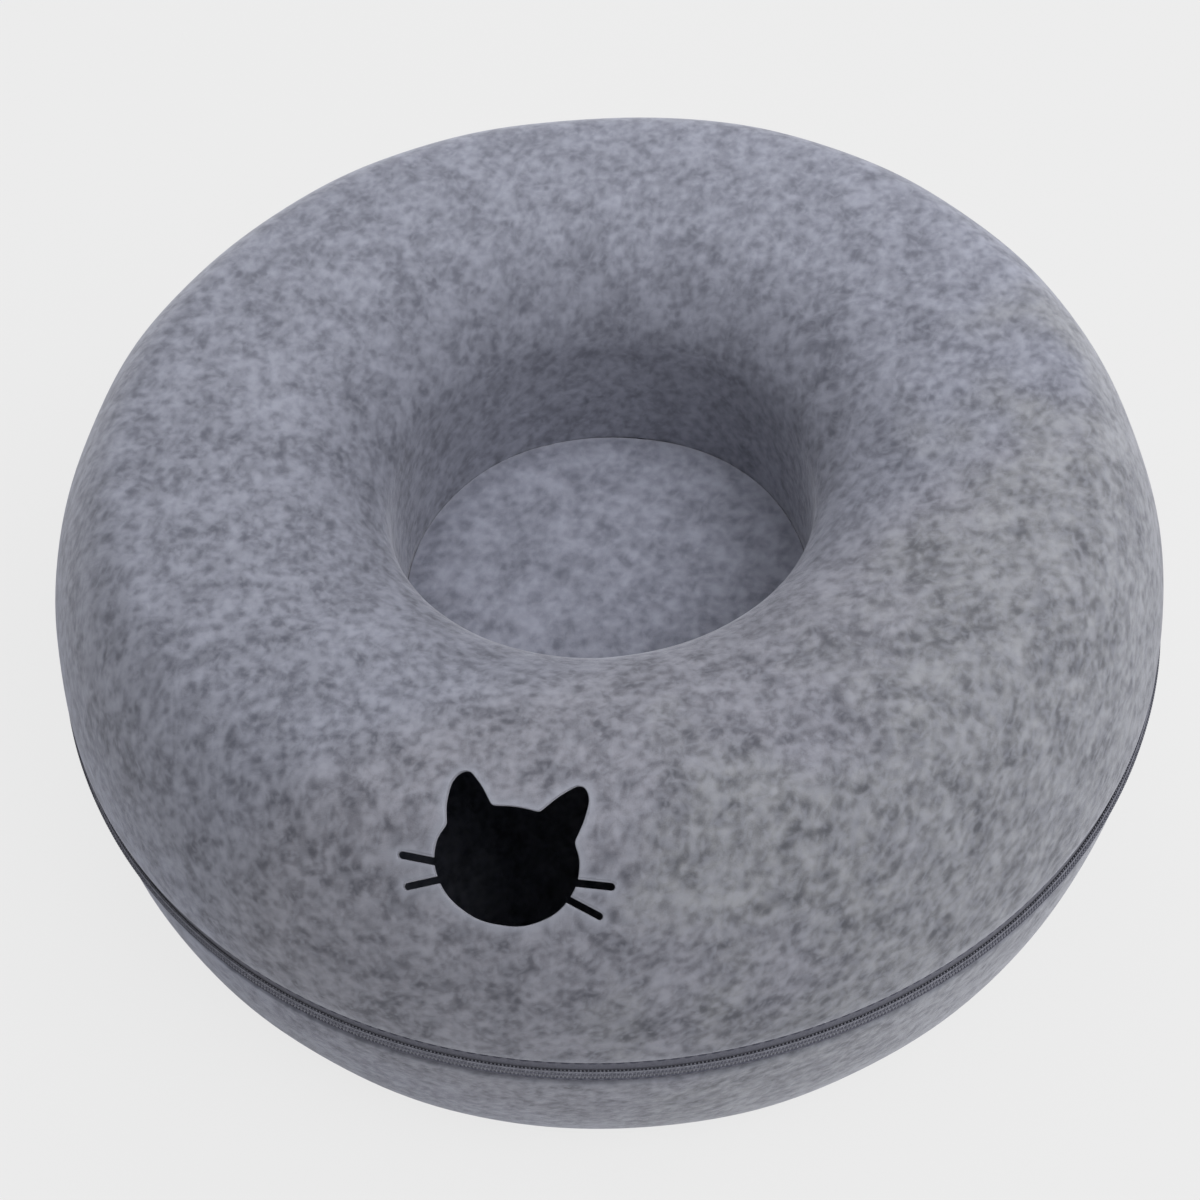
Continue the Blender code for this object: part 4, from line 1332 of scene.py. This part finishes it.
def studio():
    """Floor, world and soft lamps."""
    corners = FLOOR_REACH * np.array([(-1, -1), (1, -1), (1, 1), (-1, 1)])
    mesh = bpy.data.meshes.new("floor")
    mesh.from_pydata(np.column_stack([corners, np.full(4, -0.0004)]), [], [(0, 1, 2, 3)])
    mesh.materials.append(floor_material())
    floor = show(bpy.data.objects.new("floor", mesh))
    world = bpy.data.worlds.new("studio")
    bpy.context.scene.world = world
    world.use_nodes = True
    tree = world.node_tree
    tree.nodes.clear()
    lit = add_node(tree, "Background", {"Color": (1, 1, 1, 1), "Strength": WORLD_LIGHT})
    shown = add_node(tree, "Background", {"Color": (HORIZON, HORIZON, HORIZON, 1), "Strength": 1.0})
    mix = add_node(tree, "MixShader", {0: seen_directly(tree), 1: lit.outputs[0], 2: shown.outputs[0]})
    tree.links.new(mix.outputs[0], add_node(tree, "OutputWorld").inputs[0])
    for name, azimuth, elevation, power in LAMPS:
        lamp = bpy.data.lights.new(name, "AREA")
        lamp.shape = "DISK"
        lamp.size = LAMP_SIZE
        lamp.energy = power
        obj = show(bpy.data.objects.new(name, lamp))
        a, e = math.radians(azimuth), math.radians(elevation)
        back = Vector((math.cos(a) * math.cos(e), math.sin(a) * math.cos(e), math.sin(e)))
        obj.location = Vector((0, 0, TOTAL_HEIGHT / 2)) + back * LAMP_DISTANCE
        obj.rotation_euler = back.to_track_quat("Z", "Y").to_euler()


def camera():
    """The photograph's camera: it looks along +Y and down, turned a little about its own axis."""
    data = bpy.data.cameras.new("photo_camera")
    data.lens = LENS
    data.sensor_width = 36.0
    data.clip_start = 0.01
    data.clip_end = 50.0
    obj = show(bpy.data.objects.new("photo_camera", data))
    forward = Vector((0, math.cos(CAMERA_ELEVATION), -math.sin(CAMERA_ELEVATION)))
    right = Vector((1, 0, 0))
    turn = Matrix((right, right.cross(forward), -forward)).transposed().to_4x4()
    place = Matrix.Translation(CAMERA_TARGET - forward * CAMERA_DISTANCE)
    obj.matrix_world = place @ turn @ Matrix.Rotation(CAMERA_ROLL, 4, "Z")
    bpy.context.scene.camera = obj


def main():
    """The photograph's view, the materials and every piece."""
    bpy.context.scene.view_settings.view_transform = "Standard"
    camera()
    studio()
    felt = felt_group(fibres_group())
    ring_felt = felt_material(
        "ring_felt",
        felt,
        ((0.118, 0.124, 0.158), (0.373, 0.388, 0.469)),
        (1.05, 1.03, 0.91),
        (0.405, 0.42, 0.492),
        (0.125, 0.128, 0.165),
        density=300.0,
        bump=0.28,
        strands=0.28,
    )
    mat_felt = felt_material(
        "mat_felt",
        felt,
        ((0.166, 0.175, 0.222), (0.422, 0.438, 0.532)),
        (1.05, 1.035, 0.91),
        (0.47, 0.48, 0.566),
        (0.145, 0.149, 0.195),
        density=250.0,
        bump=0.2,
        strands=0.2,
    )
    tape = weave_material("tape_weave", (0.074, 0.076, 0.106), (0.122, 0.125, 0.168))
    nylon = filament_material("coil_nylon", (0.17, 0.173, 0.207), (0.225, 0.228, 0.27), 0.6)
    zip_thread = thread_material("zip_thread", (0.068, 0.07, 0.098), (0.115, 0.118, 0.155))
    metal = metal_material("painted_zinc", (0.06, 0.06, 0.07), (0.45, 0.45, 0.47))
    felt_upper(ring_felt)
    felt_lower(ring_felt)
    soft_mat(mat_felt)
    tapes(tape)
    chains(nylon, zip_thread)
    seam_rows(zip_thread)
    small_metal(metal)
    sliders(metal)


main()
